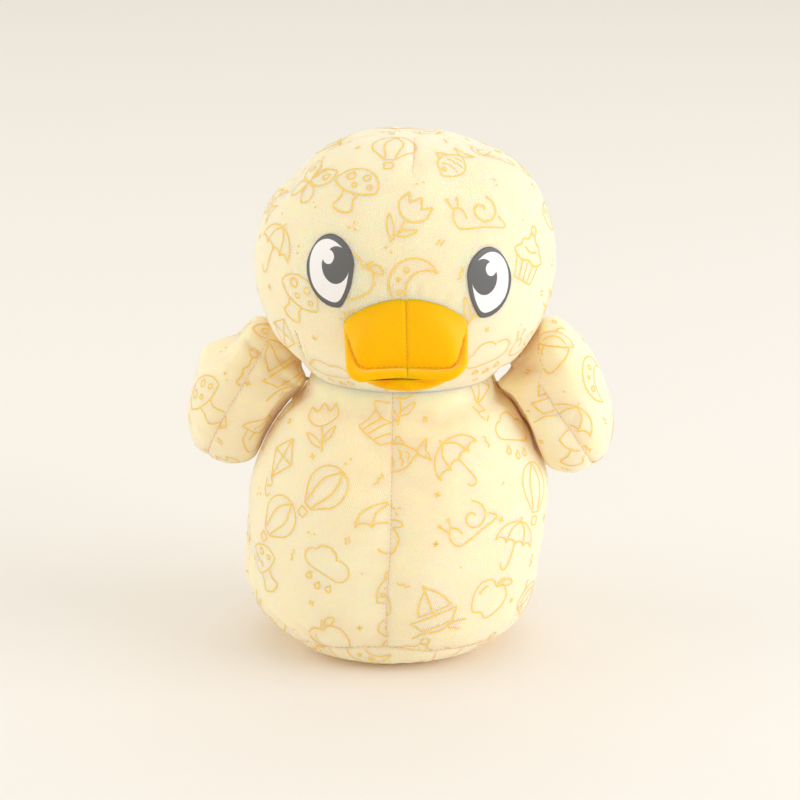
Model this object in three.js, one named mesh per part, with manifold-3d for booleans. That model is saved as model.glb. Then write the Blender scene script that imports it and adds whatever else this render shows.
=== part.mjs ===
// A stuffed plush duck, millimetres, +Z up, facing -Y, its base flat on the ground at the origin.
// Thin printed covers lie over stuffed forms. The head is sewn to the body at the neck, the wings
// are sewn in at the shoulders, and a padded two-part bill is sewn to the face.
import * as THREE from 'three';
import { mergeVertices } from 'three/addons/utils/BufferGeometryUtils.js';
import Module from 'manifold-3d';

const wasm = await Module();
wasm.setup();

// Cloth, seams and clearances
const clothThickness = 1.0;
const stuffingGap = 0.3;
const seamGap = 0.3;
const neckGap = 0.3;
const trimGap = 0.35;
const overrun = 20;

// Body
const bodyRadius = 87.4;
const baseRadius = 49;
const baseFrontHeight = 14;
const baseSideHeight = 5;
const bellyHeight = 68;
const neckHeight = 162.5;
const neckRadius = 51.5;
const neckShift = 5;
const bodyDepthShare = 0.93;
const neckDepthShare = 0.875;
const lowerHeightShares = [0, 0.088, 0.265, 0.588, 1];
const lowerSwellShares = [0, 0.42, 0.73, 0.93, 1];
const upperHeightShares = [0, 0.286, 0.55, 0.762, 0.889, 1];
const upperSwellShares = [1, 0.967, 0.76, 0.476, 0.217, 0];
const bodyRowShares = [0.037, 0.11, 0.22, 0.38, 0.53, 0.67, 0.79, 0.89, 0.95];
const ringCount = 32;

// Head
const headWidth = 169;
const headDepth = 160;
const headCrown = 80;
const headChin = 82;
const headCentreHeight = 221.3;
const headShift = 5.4;
const headForward = 2;
const crownLean = 4.3;
const crownPower = 2.35;
const chinPower = 1.8;
const headRoll = THREE.MathUtils.degToRad(4.6);
const headYaw = THREE.MathUtils.degToRad(4.5);
const headTurn = THREE.MathUtils.degToRad(12);
const neckAngle = THREE.MathUtils.degToRad(-46.5);
const cheekAngle = THREE.MathUtils.degToRad(-28);
const headRowAngles = [-41, -35, -28, -15, 0, 13, 26, 39, 52, 65, 78].map(THREE.MathUtils.degToRad);

// Eyes, of printed film on the face
const eyeHeight = 37;
const eyeWidth = 28;
const eyeThickness = 0.4;
const eyeSpread = 42.5;
const eyeRise = 14;
const eyeTilt = THREE.MathUtils.degToRad(4);
const eyePointShare = 0.12;
const eyePointAngle = THREE.MathUtils.degToRad(115);
const eyePointPower = 6;
const eyeRingShares = [0.34, 0.68, 1];
const eyePoints = 28;

// Bill
const billWidth = 71;
const billTipWidth = 64;
const billRoll = THREE.MathUtils.degToRad(-5);
const billYaw = THREE.MathUtils.degToRad(0.5);
const billReach = 34;
const billRootDepth = 52;
const billDrop = 2;
const billTipDrop = 27.5;
const billRise = 27;
const billTipRise = 7;
const billCornerLength = 13;
const billRim = 4.5;
const billRimThickness = 1.6;
const billEdgeThickness = 1;
const cornerRoundShare = 0.75;
const tipRoundShare = 0.9;
const billArchPower = 0.8;
const lowerBillWidth = 40;
const lowerBillReach = 21;
const lowerBillDrop = 33.5;
const lowerBillTipDrop = 38;
const lowerBillThickness = 6;
const billStationShares = [0, 0.25, 0.5, 0.7, 0.82, 0.91, 0.97, 1];
const billArcSteps = 12;

// Wings
const wingLength = 94;
const wingDepth = 72;
const wingThickness = 56;
const wingHeight = 148;
const wingBack = 3;
const leftWingReach = 93.5;
const rightWingReach = 88.5;
const wingTilt = THREE.MathUtils.degToRad(20);
const wingPower = 2.25;
const shoulderHeight = 155;
const shoulderBack = 2;
const wingClearance = 0.4;
const wingRootRadius = 11;
const wingRootBlend = 20;
const wingRingAngles = [-70, -52, -35, -17, 0, 17, 35, 52, 70].map(THREE.MathUtils.degToRad);
const envelopeSteps = 120;
const envelopeRows = 128;
const envelopeSpread = 90;

// Each material has the real piece's colour and finish.
const finish = (color, roughness) => new THREE.MeshStandardMaterial({ color, roughness, metalness: 0 });
const printedCloth = () => finish('#f9ebc0', 0.9);
const billCloth = () => finish('#fdbb14', 0.85);
const stuffing = () => finish('#f6f4ee', 1);
const eyeFilm = () => finish('#3a3836', 0.45);

// Monotone curve through a table of shares, level where the table turns.
function curveThrough(places, values, place) {
  const last = places.length - 1;
  const slopes = places.slice(1).map((p, i) => (values[i + 1] - values[i]) / (p - places[i]));
  const tangentAt = (i) => {
    if (i === 0 || i === last) return slopes[Math.min(i, last - 1)];
    const product = slopes[i - 1] * slopes[i];
    return product <= 0 ? 0 : (2 * product) / (slopes[i - 1] + slopes[i]);
  };
  let i = 0;
  while (i < last - 1 && place > places[i + 1]) i += 1;
  const span = places[i + 1] - places[i];
  const t = THREE.MathUtils.clamp((place - places[i]) / span, 0, 1);
  const u = 1 - t;
  const rise = values[i] * (1 + 2 * t) * u * u + values[i + 1] * (3 - 2 * t) * t * t;
  return rise + (tangentAt(i) * u - tangentAt(i + 1) * t) * t * u * span;
}

// A closed solid from rings of points that run up a form, with a point to close each end.
function ringSolid(rings, bottom, top) {
  const count = rings[0].length;
  const points = [...rings.flat(), bottom, top];
  const bottomIndex = points.length - 2;
  const topIndex = points.length - 1;
  const triangles = [];
  for (let i = 0; i < count; i += 1) {
    const next = (i + 1) % count;
    triangles.push(bottomIndex, next, i);
    for (let row = 0; row < rings.length - 1; row += 1) {
      const low = row * count;
      const high = low + count;
      triangles.push(low + i, low + next, high + next);
      triangles.push(low + i, high + next, high + i);
    }
    const last = (rings.length - 1) * count;
    triangles.push(last + i, last + next, topIndex);
  }
  const vertProperties = new Float32Array(points.flatMap((p) => [p.x, p.y, p.z]));
  const triVerts = new Uint32Array(triangles);
  return new wasm.Manifold(new wasm.Mesh({ numProp: 3, vertProperties, triVerts }));
}

// A block between two corners, in the frame of a matrix, used to cut forms into panels.
function block(low, high, matrix = new THREE.Matrix4()) {
  const size = high.clone().sub(low);
  const box = new THREE.BoxGeometry(size.x, size.y, size.z);
  box.translate(low.x + size.x / 2, low.y + size.y / 2, low.z + size.z / 2);
  box.applyMatrix4(matrix);
  box.deleteAttribute('normal');
  box.deleteAttribute('uv');
  const merged = mergeVertices(box);
  const vertProperties = new Float32Array(merged.attributes.position.array);
  const triVerts = new Uint32Array(merged.index.array);
  return new wasm.Manifold(new wasm.Mesh({ numProp: 3, vertProperties, triVerts }));
}

function addPiece(parent, name, solid, material) {
  const mesh = solid.getMesh();
  const geometry = new THREE.BufferGeometry();
  geometry.setAttribute('position', new THREE.BufferAttribute(new Float32Array(mesh.vertProperties), 3));
  geometry.setIndex(new THREE.BufferAttribute(new Uint32Array(mesh.triVerts), 1));
  geometry.translate(-parent.position.x, -parent.position.y, -parent.position.z);
  geometry.computeVertexNormals();
  const piece = new THREE.Mesh(geometry, material);
  piece.name = name;
  parent.add(piece);
}

const roundOff = (place, share) => Math.sqrt(1 - place * place * share);
const angleAt = (i, count) => (i / count) * 2 * Math.PI;
const indices = (count) => Array.from({ length: count }, (_, i) => i);
const vector = (x, y, z) => new THREE.Vector3(x, y, z);

// Body: a pear, round in plan and a little flatter front to back. inset shrinks it on every side.
function bodyRadiusAt(height) {
  if (height <= bellyHeight) {
    const share = curveThrough(lowerHeightShares, lowerSwellShares, height / bellyHeight);
    return baseRadius + (bodyRadius - baseRadius) * share;
  }
  const place = (height - bellyHeight) / (neckHeight - bellyHeight);
  const share = curveThrough(upperHeightShares, upperSwellShares, Math.min(place, 1));
  return neckRadius + (bodyRadius - neckRadius) * share;
}

const bodyLean = (height) => neckShift * (height / neckHeight) ** 3;

function bodyRing(height, inset, count) {
  const step = neckHeight / 200;
  const low = Math.max(height - step, 0);
  const high = Math.min(height + step, neckHeight);
  const slope = (bodyRadiusAt(high) - bodyRadiusAt(low)) / (high - low);
  const shrink = inset * Math.hypot(1, slope);
  const radius = bodyRadiusAt(height);
  const narrow = THREE.MathUtils.smoothstep(height, bellyHeight, neckHeight);
  const depth = radius * THREE.MathUtils.lerp(bodyDepthShare, neckDepthShare, narrow);
  return indices(count).map((i) => {
    const angle = angleAt(i, count);
    const x = bodyLean(height) + (radius - shrink) * Math.cos(angle);
    return vector(x, (depth - shrink) * Math.sin(angle), height);
  });
}

function bodyForm(inset, topHeight) {
  const heights = [inset, ...bodyRowShares.map((share) => share * neckHeight)];
  const rings = heights.map((height) => bodyRing(height, inset, ringCount));
  if (topHeight > neckHeight) rings.push(bodyRing(neckHeight, inset, ringCount));
  rings.push(bodyRing(neckHeight, inset, ringCount).map((p) => p.setZ(topHeight)));
  return ringSolid(rings, vector(0, 0, inset), vector(neckShift, 0, topHeight));
}

// The base seam runs higher at the front and the back than at the sides.
function belowBaseSeam(lift) {
  const reach = bodyRadius + overrun;
  const top = indices(ringCount).map((i) => {
    const angle = angleAt(i, ringCount);
    const height = THREE.MathUtils.lerp(baseSideHeight, baseFrontHeight, Math.sin(angle) ** 2);
    return vector(reach * Math.cos(angle), reach * Math.sin(angle), height + lift);
  });
  const bottom = top.map((p) => p.clone().setZ(-overrun));
  const middle = (baseSideHeight + baseFrontHeight) / 2 + lift;
  return ringSolid([bottom, top], vector(0, 0, -overrun), vector(0, 0, middle));
}

// Head: a ball with a fuller crown, rolled and turned a little on the neck, drawn in to the neck ring.
const headMatrix = new THREE.Matrix4().makeTranslation(headShift, -headForward, headCentreHeight);
headMatrix.multiply(new THREE.Matrix4().makeRotationZ(headYaw));
headMatrix.multiply(new THREE.Matrix4().makeRotationY(headRoll));

const lean = (p) => p.setX(p.x + (p.z > 0 ? crownLean * (p.z / headCrown) ** 2 : 0));

function headPoint(rise, angle, inset) {
  const up = rise > 0;
  const power = 2 / (up ? crownPower : chinPower);
  const flat = Math.cos(rise) ** power;
  const height = (up ? headCrown - inset : headChin - inset) * Math.abs(Math.sin(rise)) ** power;
  const x = (headWidth / 2 - inset) * flat * Math.cos(angle);
  const y = (headDepth / 2 - inset) * flat * Math.sin(angle);
  return lean(vector(x, y, up ? height : -height)).applyMatrix4(headMatrix);
}

function headRing(rise, inset, count, neckTop) {
  return indices(count).map((i) => {
    const angle = angleAt(i, count);
    const point = headPoint(rise, angle, inset);
    if (rise >= cheekAngle) return point;
    const turned = angle + headYaw;
    const onNeck = vector(neckShift + (neckRadius - inset) * Math.cos(turned), 0, neckTop);
    onNeck.setY((neckRadius * neckDepthShare - inset) * Math.sin(turned));
    const pull = onNeck.sub(headPoint(neckAngle, angle, inset));
    const share = THREE.MathUtils.smoothstep(rise, neckAngle, cheekAngle);
    return point.add(pull.multiplyScalar(1 - share));
  });
}

function headForm(inset, bottomHeight) {
  const neckTop = neckHeight + neckGap / 2;
  const rings = [neckAngle, ...headRowAngles].map((rise) => headRing(rise, inset, ringCount, neckTop));
  if (bottomHeight < neckTop) rings.unshift(rings[0].map((p) => p.clone().setZ(bottomHeight)));
  return ringSolid(rings, vector(neckShift, 0, bottomHeight), headPoint(Math.PI / 2, 0, inset));
}

// A point on the head's skin, straight out from the head's centre through a local place.
function onHead(local, lift) {
  const up = local.z > 0;
  const power = up ? crownPower : chinPower;
  const width = headWidth / 2 + lift;
  const depth = headDepth / 2 + lift;
  const height = (up ? headCrown : headChin) + lift;
  const flat = Math.hypot(local.x / width, local.y / depth);
  const scale = (flat ** power + Math.abs(local.z / height) ** power) ** (-1 / power);
  return lean(local.clone().multiplyScalar(scale)).applyMatrix4(headMatrix);
}

// Eye: a thin film of egg outline, pointed at its lower inner corner, that follows the face.
function eyeSolid(side) {
  const centre = vector(side * eyeSpread, 0, eyeRise);
  centre.setY(-(headDepth / 2) * Math.sqrt(1 - (centre.x / (headWidth / 2)) ** 2));
  const outward = centre.clone().normalize();
  const across = vector(-outward.y, outward.x, 0).normalize();
  const upward = outward.clone().cross(across).normalize();
  if (upward.z < 0) upward.negate();
  if (across.x * side < 0) across.negate();
  across.applyAxisAngle(outward, -side * eyeTilt);
  upward.applyAxisAngle(outward, -side * eyeTilt);
  const ringAt = (share, lift) => indices(eyePoints).map((i) => {
    const angle = angleAt(i, eyePoints) * side;
    const toPoint = Math.max(0, Math.cos(angle + eyePointAngle));
    const reach = share * (1 + eyePointShare * toPoint ** eyePointPower);
    const place = centre.clone().addScaledVector(across, (eyeWidth / 2) * reach * Math.cos(angle));
    return onHead(place.addScaledVector(upward, (eyeHeight / 2) * reach * Math.sin(angle)), lift);
  });
  const inner = eyeRingShares.map((share) => ringAt(share, trimGap));
  const outer = eyeRingShares.map((share) => ringAt(share, trimGap + eyeThickness)).reverse();
  return ringSolid([...inner, ...outer], onHead(centre, trimGap), onHead(centre, trimGap + eyeThickness));
}

// The bill points a little off the eyes' own line, so it has its own frame on the head.
const billMatrix = headMatrix.clone().multiply(new THREE.Matrix4().makeRotationZ(billYaw));
billMatrix.multiply(new THREE.Matrix4().makeRotationY(billRoll));

// Bill forms: sections across the bill run from inside the face to the tip, each an arch over a
// flat floor. Every form slopes down at the same rate as the whole upper or lower bill it is part of.
function billForm({ width, tipWidth, drop, tipDrop, rise, tipRise, sole, reach, slopeReach, inset }) {
  const rootY = -billRootDepth;
  const tipY = -(headDepth / 2 + reach - inset);
  const slopeLength = headDepth / 2 + slopeReach - billRootDepth;
  const cornerShare = billCornerLength / (rootY - tipY);
  const rings = billStationShares.map((share) => {
    const y = THREE.MathUtils.lerp(rootY, tipY, share);
    const corner = Math.max(0, (share - 1 + cornerShare) / cornerShare);
    const fullWidth = THREE.MathUtils.lerp(width, tipWidth, share) - 2 * inset;
    const halfWidth = (fullWidth / 2) * roundOff(corner, cornerRoundShare);
    const level = -THREE.MathUtils.lerp(drop, tipDrop, (rootY - y) / slopeLength);
    const swell = THREE.MathUtils.lerp(rise, tipRise, share) * roundOff(corner, tipRoundShare);
    const arc = indices(billArcSteps + 1).map((i) => {
      const angle = (Math.PI * i) / billArcSteps;
      const lift = Math.max(swell - inset, 0) * Math.abs(Math.sin(angle)) ** billArchPower;
      return vector(halfWidth * Math.cos(angle), y, level + lift);
    });
    return [...arc, vector(-halfWidth, y, level - sole), vector(halfWidth, y, level - sole)];
  });
  const middle = (ring) => {
    const sum = ring.reduce((total, p) => total.add(p), vector(0, 0, 0));
    return sum.divideScalar(ring.length).applyMatrix4(billMatrix);
  };
  const world = rings.map((ring) => ring.map((p) => p.clone().applyMatrix4(billMatrix)));
  return ringSolid(world, middle(rings[0]), middle(rings[rings.length - 1]));
}

// Wings: a tilted pillow of two panels, flared against the body and the head. The inner face keeps
// outside every point of the body and head that lies as far from the shoulder's axis, so it swings.
function neighbourEnvelope(side) {
  const farthest = new Array(envelopeSteps + 2).fill(0);
  const neckTop = neckHeight + neckGap / 2;
  const count = ringCount * 5;
  const record = (p) => {
    const distance = Math.hypot(p.y - shoulderBack, p.z - shoulderHeight);
    const step = Math.floor((distance / envelopeSpread) * envelopeSteps);
    if (step > envelopeSteps) return;
    farthest[step] = Math.max(farthest[step], p.x * side);
    farthest[step + 1] = Math.max(farthest[step + 1], p.x * side);
  };
  for (let row = 0; row <= envelopeRows; row += 1) {
    const share = row / envelopeRows;
    bodyRing(THREE.MathUtils.lerp(bellyHeight, neckHeight, share), 0, count).forEach(record);
    const rise = THREE.MathUtils.lerp(neckAngle, headRowAngles[headRowAngles.length - 3], share);
    const ring = headRing(rise, 0, count, neckTop);
    for (const turn of [-1, -0.5, 0, 0.5, 1]) {
      const about = new THREE.Matrix4().makeTranslation(neckShift, 0, 0);
      about.multiply(new THREE.Matrix4().makeRotationZ(turn * headTurn));
      about.multiply(new THREE.Matrix4().makeTranslation(-neckShift, 0, 0));
      ring.forEach((p) => record(p.clone().applyMatrix4(about)));
    }
  }
  for (let step = 1; step < farthest.length; step += 1) {
    farthest[step] = Math.max(farthest[step], farthest[step - 1]);
  }
  return (distance) => {
    const place = Math.min((distance / envelopeSpread) * envelopeSteps, envelopeSteps);
    const step = Math.min(Math.floor(place), envelopeSteps);
    return THREE.MathUtils.lerp(farthest[step], farthest[step + 1], place - step);
  };
}

function wingForm(side, reach, envelope, inset) {
  const along = vector(-Math.sin(wingTilt), 0, Math.cos(wingTilt));
  const out = vector(Math.cos(wingTilt), 0, Math.sin(wingTilt));
  const back = vector(0, 1, 0);
  const centre = vector(reach, wingBack, wingHeight);
  const fit = (p) => {
    const distance = Math.hypot(p.y - shoulderBack, p.z - shoulderHeight);
    const wall = envelope(distance) + wingClearance + inset * Math.SQRT2;
    const root = 1 - THREE.MathUtils.smoothstep(distance, wingRootRadius, wingRootRadius + wingRootBlend);
    const inner = p.clone().sub(centre).dot(out) < 0;
    if (p.x < wall) p.setX(wall);
    else if (inner) p.setX(THREE.MathUtils.lerp(p.x, wall, root));
    return p;
  };
  const mirrored = (p) => p.setX(p.x * side);
  const power = 2 / wingPower;
  const placeAt = (rise, angle) => {
    const flat = Math.cos(rise) ** power;
    const thick = Math.sign(rise) * Math.abs(Math.sin(rise)) ** power;
    const p = centre.clone().addScaledVector(out, (wingThickness / 2 - inset) * thick);
    p.addScaledVector(along, (wingLength / 2 - inset) * flat * Math.cos(angle));
    return fit(p.addScaledVector(back, (wingDepth / 2 - inset) * flat * Math.sin(angle)));
  };
  const rings = wingRingAngles.map((rise) => indices(ringCount).map((i) => {
    return mirrored(placeAt(rise, -side * angleAt(i, ringCount)));
  }));
  return ringSolid(rings, mirrored(placeAt(-Math.PI / 2, 0)), mirrored(placeAt(Math.PI / 2, 0)));
}

const group = new THREE.Group();

const halfGap = seamGap / 2;

// Body pieces: a stuffed core, four printed side panels and a round base panel, seamed together.
const stuffingInset = clothThickness + stuffingGap;
const bodyTop = neckHeight - neckGap / 2;
const bodyGroup = new THREE.Group();
group.add(bodyGroup);
addPiece(bodyGroup, 'body_filling', bodyForm(stuffingInset, bodyTop), stuffing());

const bodyShell = bodyForm(0, bodyTop).subtract(bodyForm(clothThickness, neckHeight + overrun));
const far = bodyRadius + overrun;
addPiece(bodyGroup, 'base_panel', bodyShell.intersect(belowBaseSeam(-halfGap)), printedCloth());
const sideShell = bodyShell.subtract(belowBaseSeam(halfGap));

for (const [endY, end] of [[-1, 'front'], [1, 'back']]) {
  for (const [endX, hand] of [[1, 'left'], [-1, 'right']]) {
    const near = vector(endX * halfGap, endY * halfGap, -overrun);
    const outer = vector(endX * far, endY * far, neckHeight + overrun);
    const quarter = block(near.clone().min(outer), near.clone().max(outer));
    addPiece(bodyGroup, `body_${end}_${hand}`, sideShell.intersect(quarter), printedCloth());
  }
}

// Head pieces: a stuffed core, one face panel with the whole front half, and two back panels.
const headBottom = neckHeight + neckGap / 2;
const headGroup = new THREE.Group();
headGroup.position.set(neckShift, 0, neckHeight);
group.add(headGroup);
addPiece(headGroup, 'head_filling', headForm(stuffingInset, headBottom), stuffing());

const headShell = headForm(0, headBottom).subtract(headForm(clothThickness, headBottom - overrun));
const headFar = headWidth + overrun;
const faceLow = vector(-headFar, -headFar, -headFar);
const faceBlock = block(faceLow, vector(headFar, -halfGap, headFar), headMatrix);
addPiece(headGroup, 'face_panel', headShell.intersect(faceBlock), printedCloth());
const backBlocks = [
  ['left', vector(halfGap, halfGap, -headFar), vector(headFar, headFar, headFar)],
  ['right', vector(-headFar, halfGap, -headFar), vector(-halfGap, headFar, headFar)],
];
for (const [hand, low, high] of backBlocks) {
  const quarter = block(low, high, headMatrix);
  addPiece(headGroup, `head_back_${hand}`, headShell.intersect(quarter), printedCloth());
}
addPiece(headGroup, 'eye_left', eyeSolid(1), eyeFilm());
addPiece(headGroup, 'eye_right', eyeSolid(-1), eyeFilm());

// Bill pieces: two top panels over a padded core, a flat stitched rim below, and the lower bill.
const faceCut = headForm(-trimGap, headBottom);
const billTop = (inset, sole) => billForm({
  width: billWidth,
  tipWidth: billTipWidth - 2 * billRim,
  drop: billDrop,
  tipDrop: billTipDrop,
  rise: billRise,
  tipRise: billTipRise,
  sole,
  reach: billReach - billRim,
  slopeReach: billReach,
  inset,
});
const billCavity = billTop(clothThickness, billEdgeThickness + overrun);
const billShell = billTop(0, billEdgeThickness).subtract(billCavity).subtract(faceCut);
const billFar = headWidth;
for (const [side, hand] of [[1, 'left'], [-1, 'right']]) {
  const near = vector(side * halfGap, -billFar, -billFar);
  const outer = vector(side * billFar, 0, billFar);
  const half = block(near.clone().min(outer), near.clone().max(outer), billMatrix);
  addPiece(headGroup, `bill_top_${hand}`, billShell.intersect(half), billCloth());
}
const billCore = billTop(stuffingInset, billEdgeThickness).subtract(faceCut);
addPiece(headGroup, 'bill_filling', billCore, stuffing());
const rimDrop = billEdgeThickness + seamGap;
const billRimForm = billForm({
  width: billWidth,
  tipWidth: billTipWidth,
  drop: billDrop + rimDrop,
  tipDrop: billTipDrop + rimDrop,
  rise: 0,
  tipRise: 0,
  sole: billRimThickness,
  reach: billReach,
  slopeReach: billReach,
  inset: 0,
});
addPiece(headGroup, 'bill_underside', billRimForm.subtract(faceCut), billCloth());
const lowerBillForm = billForm({
  width: lowerBillWidth,
  tipWidth: lowerBillWidth,
  drop: lowerBillDrop,
  tipDrop: lowerBillTipDrop,
  rise: lowerBillThickness / 2,
  tipRise: lowerBillThickness / 2,
  sole: lowerBillThickness / 2,
  reach: lowerBillReach,
  slopeReach: lowerBillReach,
  inset: 0,
});
addPiece(headGroup, 'lower_bill', lowerBillForm.subtract(faceCut), billCloth());

// Wing pieces: a stuffed core between an outer and an inner panel, seamed round the rim.
for (const [side, hand, reach] of [[1, 'left', leftWingReach], [-1, 'right', rightWingReach]]) {
  const envelope = neighbourEnvelope(side);
  const wingGroup = new THREE.Group();
  const shoulder = bodyLean(shoulderHeight) + side * bodyRadiusAt(shoulderHeight);
  wingGroup.position.set(shoulder, shoulderBack, shoulderHeight);
  group.add(wingGroup);
  const cavity = wingForm(side, reach, envelope, clothThickness);
  const shell = wingForm(side, reach, envelope, 0).subtract(cavity);
  const rimMatrix = new THREE.Matrix4().makeTranslation(side * reach, wingBack, wingHeight);
  rimMatrix.multiply(new THREE.Matrix4().makeRotationY(-side * wingTilt));
  const wingFar = wingLength + overrun;
  const outerLow = vector(side > 0 ? halfGap : -wingFar, -wingFar, -wingFar);
  const outerHigh = vector(side > 0 ? wingFar : -halfGap, wingFar, wingFar);
  const innerLow = vector(side > 0 ? -wingFar : halfGap, -wingFar, -wingFar);
  const innerHigh = vector(side > 0 ? -halfGap : wingFar, wingFar, wingFar);
  const outerPanel = shell.intersect(block(outerLow, outerHigh, rimMatrix));
  const innerPanel = shell.intersect(block(innerLow, innerHigh, rimMatrix));
  addPiece(wingGroup, `${hand}_wing_outer`, outerPanel, printedCloth());
  addPiece(wingGroup, `${hand}_wing_inner`, innerPanel, printedCloth());
  addPiece(wingGroup, `${hand}_wing_filling`, wingForm(side, reach, envelope, stuffingInset), stuffing());
}

export default group;
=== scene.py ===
import math
import bmesh
import bpy
import numpy as np
from mathutils import Matrix, Vector
from mathutils.bvhtree import BVHTree
from mathutils.geometry import delaunay_2d_cdt
from mathutils.kdtree import KDTree


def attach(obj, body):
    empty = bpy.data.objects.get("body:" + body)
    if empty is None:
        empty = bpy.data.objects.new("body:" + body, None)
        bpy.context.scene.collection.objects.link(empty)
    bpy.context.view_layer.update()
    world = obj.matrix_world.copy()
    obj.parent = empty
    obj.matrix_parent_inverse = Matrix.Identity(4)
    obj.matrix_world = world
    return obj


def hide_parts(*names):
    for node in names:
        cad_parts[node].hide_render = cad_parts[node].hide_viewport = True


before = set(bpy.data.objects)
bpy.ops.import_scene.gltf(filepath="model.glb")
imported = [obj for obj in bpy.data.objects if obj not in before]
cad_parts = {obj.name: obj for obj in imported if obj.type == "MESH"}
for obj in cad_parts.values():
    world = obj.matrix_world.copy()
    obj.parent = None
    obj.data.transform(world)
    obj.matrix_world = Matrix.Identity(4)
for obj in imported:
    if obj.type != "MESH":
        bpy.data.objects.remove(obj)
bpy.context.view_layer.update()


# Studio: a pale floor that runs past the view, a soft box at each side, one overhead and a pale
# surround, so that both flanks of the duck are bright and its front is a little quieter.
def linear(code):
    parts = [int(code[i:i + 2], 16) / 255 for i in (1, 3, 5)]
    return tuple(p / 12.92 if p <= 0.04045 else ((p + 0.055) / 1.055) ** 2.4 for p in parts) + (1.0,)


def add_node(tree, kind, sockets, **settings):
    node = tree.nodes.new(kind)
    for name, value in settings.items():
        setattr(node, name, value)
    for name, value in sockets.items():
        if isinstance(value, bpy.types.NodeSocket):
            tree.links.new(value, node.inputs[name])
        else:
            node.inputs[name].default_value = value
    return node


def placed(name, data):
    made = bpy.data.objects.new(name, data)
    scene.collection.objects.link(made)
    return made


def new_material(name):
    material = bpy.data.materials.new(name)
    material.use_nodes = True
    material.node_tree.nodes.clear()
    return material


scene = bpy.context.scene
scene.view_settings.view_transform = "Standard"
# Pale cloth passes light on many times where two pieces nearly touch.
scene.cycles.max_bounces = 20
scene.cycles.diffuse_bounces = 16

surround = bpy.data.worlds.new("studio_surround")
scene.world = surround
surround.use_nodes = True
surround.node_tree.nodes.clear()
ray = add_node(surround.node_tree, "ShaderNodeLightPath", {})
ambient = add_node(surround.node_tree, "ShaderNodeBackground", {
    "Color": linear("#fffcf1"), "Strength": 0.855})
seen_behind = add_node(surround.node_tree, "ShaderNodeBackground", {
    "Color": linear("#f3eee4"), "Strength": 1.0})
either = add_node(surround.node_tree, "ShaderNodeMixShader", {
    0: ray.outputs["Is Camera Ray"], 1: ambient.outputs[0], 2: seen_behind.outputs[0]})
add_node(surround.node_tree, "ShaderNodeOutputWorld", {"Surface": either.outputs[0]})

floor_mesh = bpy.data.meshes.new("studio_floor")
floor_reach = 14.0
floor_mesh.from_pydata(
    [(x * floor_reach, y * floor_reach, 0.0) for x, y in ((-1, -1), (1, -1), (1, 1), (-1, 1))],
    [], [(0, 1, 2, 3)])
floor = placed("studio_floor", floor_mesh)
floor_paper = new_material("matt_backdrop_paper")
tree = floor_paper.node_tree
grain = add_node(tree, "ShaderNodeTexNoise", {
    "Vector": add_node(tree, "ShaderNodeTexCoord", {}).outputs["Object"], "Scale": 900.0})
relief = add_node(tree, "ShaderNodeBump", {
    "Height": grain.outputs["Fac"], "Strength": 0.2, "Distance": 0.0001})
paper = add_node(tree, "ShaderNodeBsdfPrincipled", {
    "Base Color": linear("#ede8e4"), "Roughness": 0.9, "Normal": relief.outputs[0]})
add_node(tree, "ShaderNodeOutputMaterial", {"Surface": paper.outputs[0]})
floor_mesh.materials.append(floor_paper)

duck_middle = Vector((0, 0, 0.16))
box_height_share = 0.64
soft_boxes = (
    ("left_soft_box", (-2.4, -0.5, 1.0), 2.2, 17.0, "#fbfdff"),
    ("right_soft_box", (2.4, -0.6, 1.0), 2.2, 38.0, "#eef5ff"),
    ("overhead_soft_box", (0.0, 2.4, 3.4), 4.5, 17.0, "#fbfdff"),
)
for name, place, width, power, tint in soft_boxes:
    lamp = bpy.data.lights.new(name, "AREA")
    lamp.shape = "RECTANGLE"
    lamp.size = width
    lamp.size_y = width * box_height_share
    lamp.energy = power
    lamp.color = linear(tint)[:3]
    box = placed(name, lamp)
    box.location = place
    box.rotation_euler = (duck_middle - Vector(place)).to_track_quat("-Z", "Y").to_euler()

# Camera: where the photograph was taken, 1.3 m away, 17 degrees above the horizon and 4 degrees to
# the duck's left. The focal length is given in pixels of an 800 pixel frame.
frame_pixels = 800
focal_pixels = 2260.9
aim = Vector((0.00358, 0.0, 0.14441))
camera_distance = 1.3
azimuth = math.radians(4)
elevation = math.radians(17)
back = Vector((
    math.sin(azimuth) * math.cos(elevation), -math.cos(azimuth) * math.cos(elevation), math.sin(elevation)))
lens = bpy.data.cameras.new("camera")
lens.sensor_width = 36
lens.lens = focal_pixels * lens.sensor_width / frame_pixels
lens.clip_start = 0.05
lens.clip_end = 60
camera = placed("camera", lens)
camera.location = aim + back * camera_distance
camera.rotation_euler = back.to_track_quat("Z", "Y").to_euler()
scene.camera = camera


def sight(px, py):
    # The direction from the camera through a pixel of the 800 pixel frame.
    middle = frame_pixels / 2
    ray = Vector((px - middle, middle - py, -focal_pixels))
    return (camera.rotation_euler.to_matrix() @ ray).normalized()


# Body cover: four side panels and a round base panel of printed cotton twill, sewn together over
# the stuffing. Seams run up the front, the back and both sides, and one runs round the base.
mm = 0.001
body_radius = 87.4 * mm
base_radius = 49 * mm
base_front_height = 14 * mm
base_side_height = 5 * mm
belly_height = 68 * mm
neck_height = 162.5 * mm
neck_radius = 51.5 * mm
neck_shift = 5 * mm
body_depth_share = 0.93
neck_depth_share = 0.875
lower_height_shares = [0, 0.088, 0.265, 0.588, 1]
lower_swell_shares = [0, 0.42, 0.73, 0.93, 1]
upper_height_shares = [0, 0.286, 0.55, 0.762, 0.889, 1]
upper_swell_shares = [1, 0.967, 0.76, 0.476, 0.217, 0]
front, back_side, left_side, right_side = -math.pi / 2, math.pi / 2, 0.0, math.pi


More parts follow.
